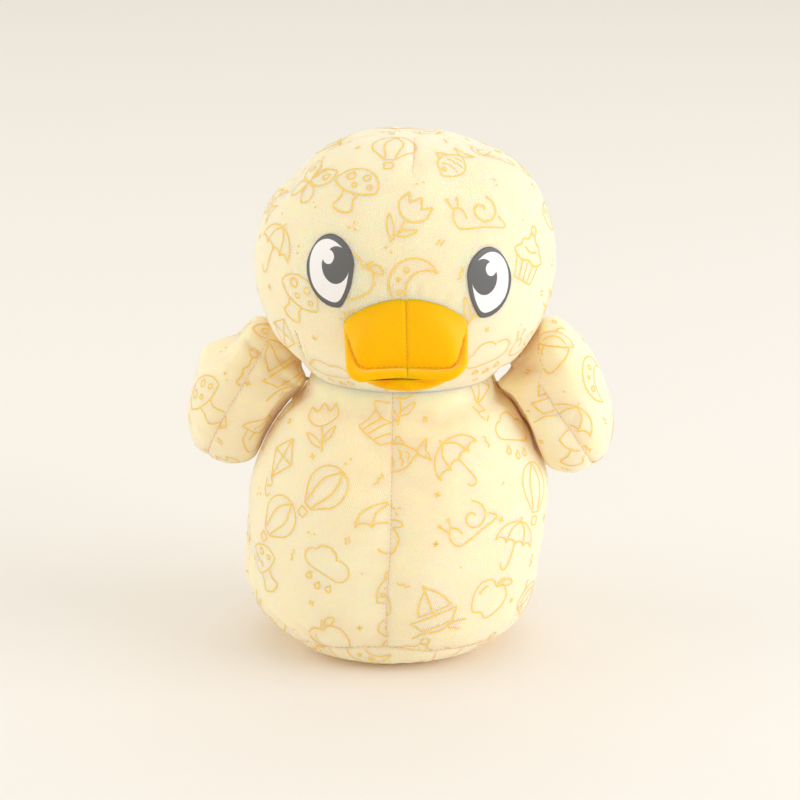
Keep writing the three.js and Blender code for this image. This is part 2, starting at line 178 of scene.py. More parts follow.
def curve_through(places, values, at):
    places, values = np.array(places, float), np.array(values, float)
    slopes = np.diff(values) / np.diff(places)
    tangents = np.concatenate([slopes[:1], np.zeros(len(slopes) - 1), slopes[-1:]])
    product, total = slopes[:-1] * slopes[1:], slopes[:-1] + slopes[1:]
    rising = product > 0
    tangents[1:-1][rising] = 2 * product[rising] / total[rising]
    i = np.clip(np.searchsorted(places, at) - 1, 0, len(slopes) - 1)
    span = places[i + 1] - places[i]
    t = np.clip((at - places[i]) / span, 0, 1)
    u = 1 - t
    rise = values[i] * (1 + 2 * t) * u * u + values[i + 1] * (3 - 2 * t) * t * t
    return rise + (tangents[i] * u - tangents[i + 1] * t) * t * u * span


def ease(value, low, high):
    t = np.clip((value - low) / (high - low), 0, 1)
    return t * t * (3 - 2 * t)


def mix(a, b, share):
    return a + (b - a) * share


def body_radius_at(height):
    low = curve_through(lower_height_shares, lower_swell_shares, height / belly_height)
    place = (height - belly_height) / (neck_height - belly_height)
    high = curve_through(upper_height_shares, upper_swell_shares, np.clip(place, 0, 1))
    below = base_radius + (body_radius - base_radius) * low
    return np.where(height < belly_height, below, neck_radius + (body_radius - neck_radius) * high)


def body_skin(angle, height):
    radius = body_radius_at(height)
    narrow = ease(height, belly_height, neck_height)
    depth = radius * mix(body_depth_share, neck_depth_share, narrow)
    lean = neck_shift * (height / neck_height) ** 3
    return np.stack([lean + radius * np.cos(angle), depth * np.sin(angle), height], -1)


def run_length(line):
    # How far along a line of points each of them lies.
    return np.concatenate([[0], np.cumsum(np.linalg.norm(np.diff(line, axis=0), axis=1))])


def closely_spaced(low, high, step, places, offsets):
    # Values from low to high, a step apart, with a close set of offsets on both sides of each place.
    keep = np.linspace(low, high, int(round((high - low) / step)) + 1)
    margin = max(offsets) + step * 0.6
    for place in places:
        keep = keep[abs(keep - place) > margin]
    near = [place + side * offset for place in places for offset in offsets for side in (-1, 1)]
    values = np.unique(np.round(np.concatenate([keep, near, places]), 9))
    return values[(values >= low - 1e-9) & (values <= high + 1e-9)]


def outward(rows):
    around = np.roll(rows, -1, 1) - np.roll(rows, 1, 1)
    normal = np.cross(around, np.gradient(rows, axis=0))
    return normal / np.maximum(np.linalg.norm(normal, axis=2, keepdims=True), 1e-12)


def puckers(along, wave, phase):
    # Uneven gathers beside a seam, from 0 to 1, about one wave apart.
    first = np.cos(2 * math.pi * along / wave + phase)
    second = np.cos(2 * math.pi * along / (wave * 1.62) + 2.3 * phase + 1.1)
    return 0.5 + 0.25 * (first + second)


def sewn_in(distance, along, wave, phase, groove, gather):
    # How deep the cloth is drawn in near a seam: a groove, with gathers beside it that die away.
    gathered = gather * puckers(along, wave, phase) * np.exp(-distance / gather_reach)
    return groove * np.exp(-distance / groove_reach) + gathered


def wrapped(angle):
    return (angle + math.pi) % (2 * math.pi) - math.pi


def beside(angle, seam, reach):
    # A share that is 1 at an angle and falls away on both sides of it.
    return np.exp(-(wrapped(angle - seam) / reach) ** 2)


def closed_grid(name, rows, low, high):
    # A closed mesh from rings of points, with a point at each end that closes it.
    count_rows, count = rows.shape[:2]
    row, column = np.meshgrid(np.arange(count_rows - 1), np.arange(count), indexing="ij")
    following = (column + 1) % count
    quads = np.stack([
        row * count + column, row * count + following,
        (row + 1) * count + following, (row + 1) * count + column], -1).reshape(-1, 4)
    first, last = count_rows * count, (count_rows - 1) * count
    fans = [(first, (i + 1) % count, i) for i in range(count)]
    fans += [(first + 1, last + i, last + (i + 1) % count) for i in range(count)]
    mesh = bpy.data.meshes.new(name)
    mesh.from_pydata(np.vstack([rows.reshape(-1, 3), [low, high]]).tolist(), [], quads.tolist() + fans)
    mesh.polygons.foreach_set("use_smooth", [True] * len(mesh.polygons))
    return mesh


def spread(values, up, along):
    # A grid of values at other places, given by row and column number, on smooth curves.
    def taps(places):
        whole = np.floor(places).astype(int)
        t = places - whole
        shares = [(1 - t) ** 3, 3 * t ** 3 - 6 * t ** 2 + 4, 3 * (t ** 2 - t ** 3 + t) + 1, t ** 3]
        return whole[:, None] + np.arange(-1, 3), np.stack(shares, 1) / 6

    row, row_shares = taps(up)
    column, column_shares = taps(along)
    part = (values[np.clip(row, 0, len(values) - 1)] * row_shares[:, :, None, None]).sum(1)
    return (part[:, column % values.shape[1]] * column_shares[None, :, :, None]).sum(2)


def values_of(items, name, width=1, kind=float):
    # One property of every item of a mesh, a row for each item.
    values = np.zeros(len(items) * width, kind)
    items.foreach_get(name, values)
    return values.reshape(-1, width) if width > 1 else values


def stuffed(name, rows, seam, held, cap):
    # How far each point of a cover moves when it is filled: an even copy of its grid is blown up as
    # cloth, which the thread draws short beside each seam. No point moves farther than the cap.
    cloth_step = 5 * mm
    frames = 20
    up = np.concatenate([[0], np.cumsum(np.linalg.norm(np.diff(rows, axis=0), axis=2).mean(1))])
    closed = np.concatenate([rows, rows[:, :1]], 1)
    rings = np.linalg.norm(np.diff(closed, axis=1), axis=2)
    ring = np.concatenate([[0], np.cumsum(rings[rings.sum(1).argmax()])])
    count_rows = int(round(up[-1] / cloth_step)) + 1
    count = 4 * int(round(ring[-1] / cloth_step / 4))
    up_number = np.interp(np.linspace(0, up[-1], count_rows), up, np.arange(len(up)))
    ring_number = np.interp(np.linspace(0, ring[-1], count, endpoint=False), ring, np.arange(len(ring)))
    even = spread(rows, up_number, ring_number)
    mesh = closed_grid(name, even, even[0].mean(0), even[-1].mean(0))
    pillow = placed(name, mesh)
    shares = spread(np.stack([seam, held], -1), up_number, ring_number).reshape(-1, 2)
    for label, values, ends in (("drawn", shares[:, 0], 0.0), ("held", (shares[:, 1] > 0.5) * 1.0, 1.0)):
        group = pillow.vertex_groups.new(name=label)
        for index, value in enumerate(values.tolist() + [ends, ends]):
            group.add([index], min(max(value, 0.0), 1.0), "REPLACE")
    filling = pillow.modifiers.new("filling", "CLOTH")
    filling.settings.quality = 6
    filling.settings.mass = 0.3
    filling.settings.bending_stiffness = 0.3
    filling.settings.use_pressure = True
    filling.settings.uniform_pressure_force = 4.0
    filling.settings.effector_weights.gravity = 0.0
    filling.settings.vertex_group_mass = "held"
    filling.settings.vertex_group_shrink = "drawn"
    filling.settings.shrink_min = -0.012
    filling.settings.shrink_max = 0.05
    filling.collision_settings.use_collision = False
    filling.point_cache.frame_start, filling.point_cache.frame_end = 1, frames
    for step in range(1, frames + 1):
        scene.frame_set(step)
    blown = pillow.evaluated_get(bpy.context.evaluated_depsgraph_get()).to_mesh()
    shift = values_of(blown.vertices, "co", 3)[:-2].reshape(even.shape) - even
    pillow.to_mesh_clear()
    bpy.data.objects.remove(pillow)
    scene.frame_set(1)
    far = np.linalg.norm(shift, axis=2, keepdims=True)
    shift = shift / np.maximum(far / cap, 1)
    return spread(shift, up / up[-1] * (count_rows - 1), ring[:-1] / ring[-1] * count)


def seen_on(surface, *pixels):
    # The points of a surface that the camera sees at these pixels of its frame.
    hits = [surface.ray_cast(camera.location, sight(*pixel))[0] for pixel in pixels]
    return np.array([hit for hit in hits if hit is not None])


def tree_of(mesh):
    return BVHTree.FromPolygons([v.co for v in mesh.vertices], [p.vertices for p in mesh.polygons])


def skin_tree(rows):
    mesh = closed_grid("skin", rows, rows[0].mean(0), rows[-1].mean(0))
    tree = tree_of(mesh)
    bpy.data.meshes.remove(mesh)
    return tree


def about_line(rows, normal, line, ends):
    # For each point of a cover: its distance from a line of points, the same distance with a plus on
    # the line's left and a minus on its right, and a share that fades out towards the line's ends.
    nearest = np.full(rows.shape[:2], 1e9)
    over = np.zeros(rows.shape[:2])
    place = np.zeros(rows.shape[:2])
    for i in range(len(line) - 1):
        start, run = line[i], line[i + 1] - line[i]
        share = np.clip(((rows - start) @ run) / (run @ run), 0, 1)
        distance = np.linalg.norm(rows - start - share[..., None] * run, axis=2)
        closer = distance < nearest
        place = np.where(closer, (i + share) / (len(line) - 1), place)
        over = np.where(closer, np.sign((np.cross(run, rows - start) * normal).sum(2)) * distance, over)
        nearest = np.minimum(nearest, distance)
    return nearest, over, ease(place, -0.02, ends) * (1 - ease(place, 1 - ends, 1.02))


def folded(rows, line, depth, width):
    # Presses a crease along a line of points, which fades at its ends, and raises the cloth beside it.
    normal = outward(rows)
    nearest, _, fade = about_line(rows, normal, line, 0.3)
    raised_share = 0.45
    bank = np.exp(-((nearest - 2.2 * width) / (1.4 * width)) ** 2)
    valley = np.exp(-(nearest / width) ** 2) - raised_share * bank
    return rows - normal * (depth * fade * valley)[..., None]


def tucked(rows, line, lift, sink, width):
    # A fold that laps over itself: the cloth swells on the left of a line of points, seen from outside
    # and going along it, and drops away on its right.
    normal = outward(rows)
    _, over, fade = about_line(rows, normal, line, 0.25)
    lapped = 0.5 + 0.5 * np.tanh(over / (0.6 * mm))
    rise = lift * lapped * np.exp(-(over / (1.6 * width)) ** 2)
    rise -= sink * (1 - lapped) * np.exp(-(over / width) ** 2)
    return rows + normal * (fade * rise)[..., None]


def skin_object(name, rows, low, high, panel, weave):
    # A closed cover from rows of points. panel numbers each face, and weave gives the place of each
    # of its corners on the flat cloth, in metres.
    count = rows.shape[1]
    mesh = closed_grid(name, rows, low, high)
    faces = mesh.attributes.new("panel", "INT", "FACE")
    at_ends = [panel[0, 0]] * count + [panel[-1, 0]] * count
    faces.data.foreach_set("value", np.concatenate([panel.ravel(), at_ends]))
    flat = mesh.uv_layers.new(name="weave")
    corners = weave.reshape(-1, 2)
    first = weave[0, :, [0, 1]].transpose(1, 0, 2)
    final = weave[-1, :, [3, 2]].transpose(1, 0, 2)
    bottom = np.concatenate([first.mean(1, keepdims=True), first[:, ::-1]], 1).reshape(-1, 2)
    top = np.concatenate([final.mean(1, keepdims=True), final], 1).reshape(-1, 2)
    flat.data.foreach_set("uv", np.vstack([corners, bottom, top]).astype(np.float32).ravel())
    return placed(name, mesh)


def at_corners(values):
    # A grid of values at the points, as the four corners of each face.
    following = np.roll(values, -1, 1)
    return np.stack([values[:-1], following[:-1], following[1:], values[1:]], 2)


cover_step = 1.6 * mm
near_seam = [0.3 * mm, 0.8 * mm, 1.6 * mm]
into_column = 1e-4
base_panel_number = 9
neck_run = 52 * mm
base_run = 78 * mm
thread_reach = 3 * mm
groove_reach = 1.1 * mm
gather_reach = 7 * mm
groove_depth = 0.8 * mm
gather_depth = 0.35 * mm


def places_round(radius):
    # Angles round a cover, a step apart on the cloth and closer beside its four upright seams.
    return closely_spaced(
        -math.pi, math.pi, cover_step / radius, [-math.pi, front, left_side, back_side, math.pi],
        [offset / radius for offset in near_seam])[:-1]


body_angles = places_round(body_radius)
side_seams = np.array([front, left_side, back_side, right_side])

flat_rows = base_radius * np.array([0.12, 0.3, 0.5, 0.68, 0.82, 0.92, 0.98])
seam_height = mix(base_side_height, base_front_height, np.sin(body_angles) ** 2)
below_shares = np.array([0, 0.15, 0.32, 0.5, 0.68, 0.84, 0.94])
trace = body_skin(np.full(400, front), np.linspace(base_front_height, neck_height, 400))
length = run_length(trace)
side_length = length[-1]
spots = closely_spaced(0, side_length, cover_step, [0.0, side_length], near_seam)
above_shares = np.interp(spots, length, np.linspace(0, 1, 400))

heights = np.vstack([np.zeros((len(flat_rows), len(body_angles))), np.outer(below_shares, seam_height),
                     seam_height + np.outer(above_shares, neck_height - seam_height)])
angles = np.broadcast_to(body_angles, heights.shape).copy()
front_sway = curve_through([0, 0.03, 0.095, 0.1625], [0.002, 0.001, 0.004, 0.0025], heights)
lean = neck_shift * (heights / neck_height) ** 3
angles += (front_sway - lean) / body_radius_at(heights) * beside(angles, front, 0.5)
angles += 0.2 * (1 - ease(heights, 0.03, 0.13)) * beside(angles, right_side, 0.45)
body_rows = body_skin(angles, heights)
body_rows[:len(flat_rows)] *= (flat_rows / base_radius)[:, None, None]

first_side_row = len(flat_rows) + len(below_shares)
up_side = np.zeros(heights.shape)
up_side[first_side_row:] = spots[:, None]
up_side[:first_side_row] = -np.linalg.norm(body_rows[first_side_row] - body_rows[:first_side_row], axis=2)
from_neck = side_length - up_side
nearest = np.abs(wrapped(body_angles[:, None] - side_seams[None, :]))
which_seam = nearest.argmin(1)
from_side_seam = nearest.min(1)[None, :] * body_radius_at(heights)
on_side = ease(up_side, 0.0, 1 * mm)
around_base = body_angles[None, :] * base_run

# The filled shape, then the folds low on the right where the cloth is drawn in over the base.
drawn = np.maximum(np.exp(-from_side_seam / thread_reach) * on_side, np.exp(-np.abs(up_side) / thread_reach))
row_number = np.arange(len(heights))[:, None]
fixed = np.broadcast_to((row_number <= len(flat_rows)) | (row_number == len(heights) - 1), heights.shape)
low_right = 7.6 * mm * np.exp(-((heights - 26 * mm) / (18 * mm)) ** 2) + 0.4 * mm
high_left = 2.6 * mm * np.exp(-((heights - 96 * mm) / (26 * mm)) ** 2) + 2.0 * mm
body_swell = low_right * beside(angles, right_side, 0.75) + high_left * beside(angles, left_side, 0.75)
body_swell = (body_swell - 0.8 * mm) * ease(up_side, 0.0, 25 * mm) * ease(from_neck, 0.0, 25 * mm)
body_rows = body_rows + outward(body_rows) * body_swell[..., None]
body_rows = body_rows + stuffed("body_filled", body_rows, drawn, fixed, 6 * mm)
skin = skin_tree(body_rows)
for depth, width, pixels in (
        (1.6, 2.6, ((258, 618), (268, 632), (283, 644), (300, 653))),
        (1.3, 2.4, ((266, 606), (280, 622), (297, 636), (318, 650))),
        (0.9, 2.2, ((292, 618), (306, 632), (322, 644), (338, 651))),
        (0.8, 2.2, ((505, 628), (492, 640), (478, 650))),
        (0.7, 2.0, ((520, 606), (508, 624), (494, 640)))):
    body_rows = folded(body_rows, seen_on(skin, *pixels), depth * mm, width * mm)


def neck_gathers(angle, wave, phase, distance):
    # The gathers where a cover is drawn in at the neck, by the distance from the neck's seam.
    gathers = 0.3 * mm * puckers(angle * neck_run, wave, phase)
    return gathers * np.exp(-distance / (9 * mm)) * ease(distance, 0, 3 * mm)


# Grooves where the panels are sewn, with gathers that die away from each seam.
seam_phase = which_seam[None, :] * 1.7
press = on_side * sewn_in(from_side_seam, up_side, 0.013, seam_phase, groove_depth, gather_depth)
press += 1.1 * mm * np.exp(-np.abs(up_side) / (1.2 * mm))
base_gather = (0.4 + 0.7 * beside(body_angles, -2.35, 0.5)[None, :]) * mm
press += base_gather * puckers(around_base, 0.0125, 0.6) * np.exp(-np.abs(up_side) / (8 * mm))
press += neck_gathers(body_angles[None, :], 0.012, 2.0, from_neck)
press[:len(flat_rows)] = 0
body_rows = body_rows - outward(body_rows) * press[..., None]
body_rows[..., 2] = np.maximum(body_rows[..., 2], 0.0)

quarter = np.floor((wrapped(body_angles + into_column - front) + math.pi) / (math.pi / 2)).astype(int)
body_panel = np.broadcast_to(quarter[None, :], (heights.shape[0] - 1, len(body_angles))).copy()
body_panel[:first_side_row] = base_panel_number
quarter_middle = front - math.pi + (quarter + 0.5) * math.pi / 2
corner_angles = at_corners(np.broadcast_to(body_angles, heights.shape))
corner_radius = at_corners(body_radius_at(heights))
across = wrapped(corner_angles - quarter_middle[None, :, None]) * corner_radius
weave = np.stack([across, at_corners(up_side)], -1)
corner_points = at_corners(body_rows[..., 0]), at_corners(body_rows[..., 1])
weave[:first_side_row] = np.stack(corner_points, -1)[:first_side_row]
body_cover = skin_object(
    "body_cover", body_rows, (0, 0, 0), (neck_shift, 0, neck_height - 0.3 * mm), body_panel, weave)
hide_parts("body_filling", "base_panel", "body_front_left", "body_front_right",
            "body_back_left", "body_back_right")
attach(body_cover, "body")


# Cotton twill: a 2/1 twill woven from soft matt yarn, so it gives fine diagonal ribs, a faint fuzz
# of light at grazing angles, and slightly uneven dyeing. Its colour is also painted darker in the
# valleys between the ribs, as painted shade. The ribs are 1.1 mm apart, a little coarser than
# real ones of 0.7 mm, so that they show in the render.
rib_pitch = 1.1 * mm
rib_height = 0.11 * mm
rib_slant = (0, 0, math.radians(-32))
rib_scale = 2 * math.pi / 20 / rib_pitch
yarn_width = 0.45 * mm
slub_length = 1.6 * mm


def twill(name, colour, shade, fuzz, shine, light_reach):
    material = new_material(name)
    tree = material.node_tree
    cloth = add_node(tree, "ShaderNodeUVMap", {}, uv_map="weave")
    turned = add_node(tree, "ShaderNodeMapping", {"Vector": cloth.outputs[0], "Rotation": rib_slant})
    ribs = add_node(tree, "ShaderNodeTexWave", {
        "Vector": turned.outputs[0], "Scale": rib_scale, "Distortion": 0.6, "Detail": 2.0,
        "Detail Scale": 3.0}, wave_type="BANDS", bands_direction="X")
    yarns = add_node(tree, "ShaderNodeMapping", {
        "Vector": cloth.outputs[0], "Scale": (1 / yarn_width, 1 / slub_length, 1)})
    slubs = add_node(tree, "ShaderNodeTexNoise", {
        "Vector": yarns.outputs[0], "Scale": 1.0, "Detail": 2.0})
    blotches = add_node(tree, "ShaderNodeTexNoise", {
        "Vector": cloth.outputs[0], "Scale": 28.0, "Detail": 2.0})
    height = add_node(tree, "ShaderNodeMath", {0: slubs.outputs["Fac"], 1: 0.6, 2: ribs.outputs["Fac"]},
                      operation="MULTIPLY_ADD")
    relief = add_node(tree, "ShaderNodeBump", {
        "Height": height.outputs[0], "Strength": 0.8, "Distance": rib_height})
    # Painted shade: the colour is mixed towards the shade colour in the valleys between the ribs. The
    # blotches below add the uneven dyeing, and dark is the sum of both.
    painted_rib_valley_shade = add_node(tree, "ShaderNodeMapRange", {
        "Value": ribs.outputs["Fac"], "From Min": 0.0, "From Max": 1.0, "To Min": 0.32, "To Max": 0.0})
    uneven = add_node(tree, "ShaderNodeMapRange", {
        "Value": blotches.outputs["Fac"], "From Min": 0.3, "From Max": 0.7, "To Min": 0.0, "To Max": 0.22})
    dark = add_node(tree, "ShaderNodeMath", {0: painted_rib_valley_shade.outputs[0], 1: uneven.outputs[0]}, operation="ADD")
    tone = add_node(tree, "ShaderNodeMix", {
        "Factor": dark.outputs[0], "A": linear(colour), "B": linear(shade)}, data_type="RGBA")
    cotton = add_node(tree, "ShaderNodeBsdfPrincipled", {
        "Base Color": tone.outputs["Result"], "Roughness": 0.88, "Specular IOR Level": shine,
        "Sheen Weight": fuzz, "Sheen Roughness": 0.35, "Subsurface Weight": 0.75,
        "Subsurface Radius": (1.0, 0.5, 0.1), "Subsurface Scale": light_reach, "Normal": relief.outputs[0]})
    add_node(tree, "ShaderNodeOutputMaterial", {"Surface": cotton.outputs[0]})
    return material


printed_twill = twill("pale_cream_cotton_twill", "#faeed0", "#f3d9a0", 0.5, 0.7, 18 * mm)
body_cover.data.materials.append(printed_twill)


# Head cover: a face panel over the whole front half and two back panels of the same twill, sewn
# round the stuffing and closed at the neck. A dart runs down from the crown, and one at the cheek.
head_width = 169 * mm
head_depth = 160 * mm
head_crown = 80 * mm
head_chin = 82 * mm
crown_lean = 4.3 * mm
crown_power = 2.35
chin_power = 1.8
neck_rise = math.radians(-46.5)
cheek_rise = math.radians(-28)
head_yaw = math.radians(4.5)
head_place = (Matrix.Translation((5.4 * mm, -2 * mm, 221.3 * mm)) @ Matrix.Rotation(head_yaw, 4, "Z")
              @ Matrix.Rotation(math.radians(4.6), 4, "Y"))


def moved(matrix, points):
    grid = np.array(matrix)
    return points @ grid[:3, :3].T + grid[:3, 3]


def head_skin(rise, angle):
    up = rise > 0
    power = 2 / np.where(up, crown_power, chin_power)
    flat = np.cos(rise) ** power
    height = np.where(up, head_crown, -head_chin) * np.abs(np.sin(rise)) ** power
    x = head_width / 2 * flat * np.cos(angle) + np.where(up, crown_lean * (height / head_crown) ** 2, 0)
    local = np.stack([x, head_depth / 2 * flat * np.sin(angle), height], -1)
    return moved(head_place, local)


head_angles = places_round(head_width / 2)
trace_rise = np.linspace(neck_rise, math.radians(89), 500)
trace = head_skin(trace_rise, np.full(500, front))
length = run_length(trace)
head_length = length[-1]
head_spots = closely_spaced(0, head_length, cover_step, [0.0], near_seam)
rises = np.broadcast_to(np.interp(head_spots, length, trace_rise)[:, None],
                        (len(head_spots), len(head_angles))).copy()
angles = np.broadcast_to(head_angles, rises.shape).copy()
flatness = np.cos(rises) * head_width / 2
to_sides = np.minimum(np.abs(wrapped(angles)), np.abs(wrapped(angles - math.pi))) * flatness
to_back = np.abs(wrapped(angles - back_side)) * flatness
to_dart = np.abs(wrapped(angles - front)) * flatness
dart_sway = 3.6 * mm
angles -= dart_sway / np.maximum(flatness, 14 * mm) * ease(rises, 0.4, 0.8) * beside(angles, front, 0.5)
head_rows = head_skin(rises, angles)
turned = head_angles + head_yaw
neck_ring = np.stack([
    neck_shift + neck_radius * np.cos(turned), neck_radius * neck_depth_share * np.sin(turned),
    np.full(len(turned), neck_height)], -1)
pull = neck_ring - head_skin(np.full(len(head_angles), neck_rise), head_angles)
head_rows += pull[None] * (1 - ease(rises, neck_rise, cheek_rise))[..., None]

up_head = np.broadcast_to(head_spots[:, None], rises.shape)
dart_length = 50 * mm
dart_end = head_length - dart_length
on_dart = ease(up_head, dart_end, dart_end + 12 * mm)
off_crown = 1 - 0.8 * ease(up_head, head_length - 30 * mm, head_length - 8 * mm)
drawn = np.exp(-np.minimum(to_sides, to_back) / thread_reach) * off_crown
drawn = np.maximum(drawn, 0.5 * on_dart * off_crown * np.exp(-to_dart / thread_reach))
fixed = np.broadcast_to(np.arange(len(rises))[:, None] == 0, rises.shape)
# The filling is a little uneven: fuller at both cheeks and flatter high up on both sides.
clock_x, clock_z = 6 * mm, 226 * mm
towards = outward(head_rows)
clock = np.degrees(np.arctan2(head_rows[..., 2] - clock_z, head_rows[..., 0] - clock_x)) % 360
head_swell = np.full(rises.shape, -0.5 * mm)
for amount, middle, width in (
        (2.8, 172, 20), (-3.6, 143, 12), (-1.0, 122, 16), (-2.8, 58, 12), (2.2, 30, 15), (1.0, 5, 20),
        (0.9, 350, 20)):
    head_swell += amount * mm * np.exp(-(((clock - middle + 180) % 360 - 180) / width) ** 2)
head_swell *= ease(up_head, 0.0, 25 * mm) * np.hypot(towards[..., 0], towards[..., 2]) ** 2
head_rows = head_rows + towards * head_swell[..., None]
loose = 1 - 0.85 * ease(up_head, head_length - 45 * mm, head_length - 12 * mm)
head_rows = head_rows + stuffed("head_filled", head_rows, drawn, fixed, 6 * mm) * loose[..., None]

# The dart at the right cheek, and the short folds that the bill draws into the face above it.
skin = skin_tree(head_rows)
cheek_dart = ((295, 331), (297, 335), (300.5, 346), (304.6, 357), (309, 366))
for depth, width, pixels in (
        (2.0, 1.0, cheek_dart),
        (0.6, 1.7, ((362, 303), (360, 296), (357, 289))), (0.6, 1.6, ((388, 299), (388, 291), (387, 284))),
        (0.7, 1.6, ((417, 299), (418, 291), (418, 283))), (0.6, 1.8, ((441, 306), (446, 299), (450, 292))),
        (0.5, 1.8, ((459, 317), (466, 311), (474, 306)))):
    head_rows = folded(head_rows, seen_on(skin, *pixels), depth * mm, width * mm)

press = np.zeros(rises.shape)
for distance, share, phase in (
        (to_sides, off_crown, 0.4), (to_back, off_crown, 2.6),
        (to_dart, on_dart * (0.4 + 0.6 * off_crown), 4.1)):
    press += share * sewn_in(distance, up_head, 0.014, phase, groove_depth, gather_depth)
press += neck_gathers(angles, 0.0115, 0.3, up_head)
head_rows = head_rows - outward(head_rows) * press[..., None]

middles = wrapped(head_angles + into_column)
panel_round = np.where(middles < 0, 0, np.where(middles < back_side, 1, 2))
head_panel = np.broadcast_to(panel_round[None, :], (len(head_spots) - 1, len(head_angles)))


def flat_from(points, centre, facing, radius):
    # The place of each point on cloth laid flat round the direction that a panel faces.
    facing = np.array(facing) / np.linalg.norm(facing)
    side = np.cross(facing, (0, 0, 1.0))
    side = -side / np.linalg.norm(side)
    upward = np.cross(facing, side) * -1
    ray = points - np.array(centre)
    ray = ray / np.linalg.norm(ray, axis=-1, keepdims=True)
    forward = np.clip(ray @ facing, -1, 1)
    reach = np.arccos(forward) / np.maximum(np.sqrt(1 - forward ** 2), 1e-6) * radius
    return np.stack([ray @ side * reach, ray @ upward * reach], -1)


head_centre = head_place.translation
facings = [(0, -1, 0.05), (0.75, 0.66, 0.05), (-0.75, 0.66, 0.05)]
choices = [at_corners(flat_from(head_rows, head_centre, facing, head_width / 2)) for facing in facings]
weave = np.choose(head_panel[..., None, None], choices)
crown = head_skin(np.array(math.pi / 2), np.array(0.0)) - np.array([0, 0, 0.9 * mm])
head_cover = skin_object(
    "head_cover", head_rows, (neck_shift, 0, neck_height + 0.3 * mm), crown, head_panel, weave)
head_cover.data.materials.append(printed_twill)
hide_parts("head_filling", "face_panel", "head_back_left", "head_back_right")
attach(head_cover, "head")


# Wings: each is a plump pillow of an outer and an inner panel, sewn round the rim and then sewn to
# the body at the shoulder. The inner face lies against the body and the head without touching.
wing_length = 94 * mm
wing_depth = 72 * mm
wing_thickness = 56 * mm
wing_tilt = math.radians(20)
wing_power = 2.25
shoulder_back = 2 * mm
shoulder_height = 155 * mm
wing_clearance = 0.5 * mm
wing_root_radius = 11 * mm
wing_root_blend = 20 * mm
wing_middle_back = 3 * mm
wing_middle_height = 148 * mm
head_turn_limit = math.radians(12)


def from_shoulder(points):
    return points[..., 1] - shoulder_back, points[..., 2] - shoulder_height


def neighbour_wall(side, neck_notch, reach=0.1, steps=100, sectors=120):
    # How far out the wing's inner face has to stand, by place round the shoulder's axis, to stay clear
    # of the body and of the head turned both ways. Each place takes in a sector as wide as the swing.
    pivot = np.array([neck_shift, 0, 0])
    points = body_rows.reshape(-1, 3)
    for turn in (-head_turn_limit, 0, head_turn_limit):
        turned_head = (head_rows.reshape(-1, 3) - pivot) @ np.array(Matrix.Rotation(turn, 3, "Z")) + pivot
        points = np.vstack([points, turned_head])
    y, z = from_shoulder(points)
    step = np.minimum(np.hypot(y, z) / reach * steps, steps + 1).astype(int)
    sector = (np.arctan2(z, y) / (2 * math.pi) * sectors).astype(int) % sectors
    wall = np.zeros((steps + 3, sectors))
    for further in (0, 1):
        np.maximum.at(wall, (step + further, sector), points[:, 0] * side)
    wall = np.maximum.accumulate(wall[:steps + 1], axis=0)
    wall = np.max([np.roll(wall, turn, 1) for turn in range(-9, 15)], axis=0)
    wall = sum(np.roll(wall, turn, 1) for turn in (-2, -1, 0, 1, 2)) / 5

    def stop_at(points):
        # The open space over the shoulder runs back and down, the way the photograph looks through it.
        y, z = from_shoulder(points)
        notch = neck_notch * np.exp(-((z + y * math.tan(elevation) - 9 * mm) / (5.5 * mm)) ** 2)
        place = np.minimum(np.hypot(y, z) / reach * steps, steps - 1e-6)
        turn = (np.arctan2(z, y) / (2 * math.pi) * sectors) % sectors
        row, column = place.astype(int), turn.astype(int) % sectors
        following = (column + 1) % sectors
        up = place - row
        found = mix(mix(wall[row, column], wall[row + 1, column], up),
                    mix(wall[row, following], wall[row + 1, following], up), turn - np.floor(turn))
        return found + notch + wing_clearance
    return stop_at


def kept_outside(x, stop):
    # The larger of two values, with a soft turn from one to the other.
    return (x + stop + np.sqrt((x - stop) ** 2 + (1.2 * mm) ** 2)) / 2


def settled(x, stop, rise, near):
    # The inner face, where it comes close to its neighbour, is pressed onto it.
    free = np.maximum(x - stop, 0)
    return np.where(x > stop, stop + free * mix(1, ease(free, 0, near), ease(-rise, 0.0, 0.4)), x)


def wing_skin(side, reach, stop_at, rise, angle):
    along = np.array([-math.sin(wing_tilt), 0, math.cos(wing_tilt)])
    out = np.array([math.cos(wing_tilt), 0, math.sin(wing_tilt)])
    centre = np.array([reach, wing_middle_back, wing_middle_height])
    power = 2 / wing_power
    flat = np.cos(rise) ** power
    thick = np.sign(rise) * np.abs(np.sin(rise)) ** power
    points = centre + out * (wing_thickness / 2 * thick)[..., None]
    points = points + along * (wing_length / 2 * flat * np.cos(angle))[..., None]
    points[..., 1] += wing_depth / 2 * flat * np.sin(angle)
    stop = stop_at(points)
    distance = np.hypot(*from_shoulder(points))
    root = 1 - ease(distance, wing_root_radius, wing_root_radius + wing_root_blend)
    inner = (points - centre) @ out < 0
    drawn = settled(np.where(inner, mix(points[..., 0], stop, root), points[..., 0]), stop, rise, 13 * mm)
    points[..., 0] = kept_outside(np.maximum(drawn, stop - 3 * mm), stop) * side
    return points


def evened(rows, share, rounds=45):
    # Rounds off a sharp edge: each point moves towards the middle of its neighbours.
    for _ in range(rounds):
        middle = (np.roll(rows, 1, 1) + np.roll(rows, -1, 1)) / 2
        middle[1:-1] = (middle[1:-1] + (rows[:-2] + rows[2:]) / 2) / 2
        rows = mix(rows, middle, share[..., None])
    return rows


def runs_of(kept):
    # The unbroken runs of kept places round a ring.
    start = int(np.argmin(kept))
    order = (start + np.arange(len(kept))) % len(kept)
    edges = np.flatnonzero(np.diff(kept[order].astype(int), prepend=0, append=0))
    return [order[a:b] for a, b in edges.reshape(-1, 2) if b - a > 3]


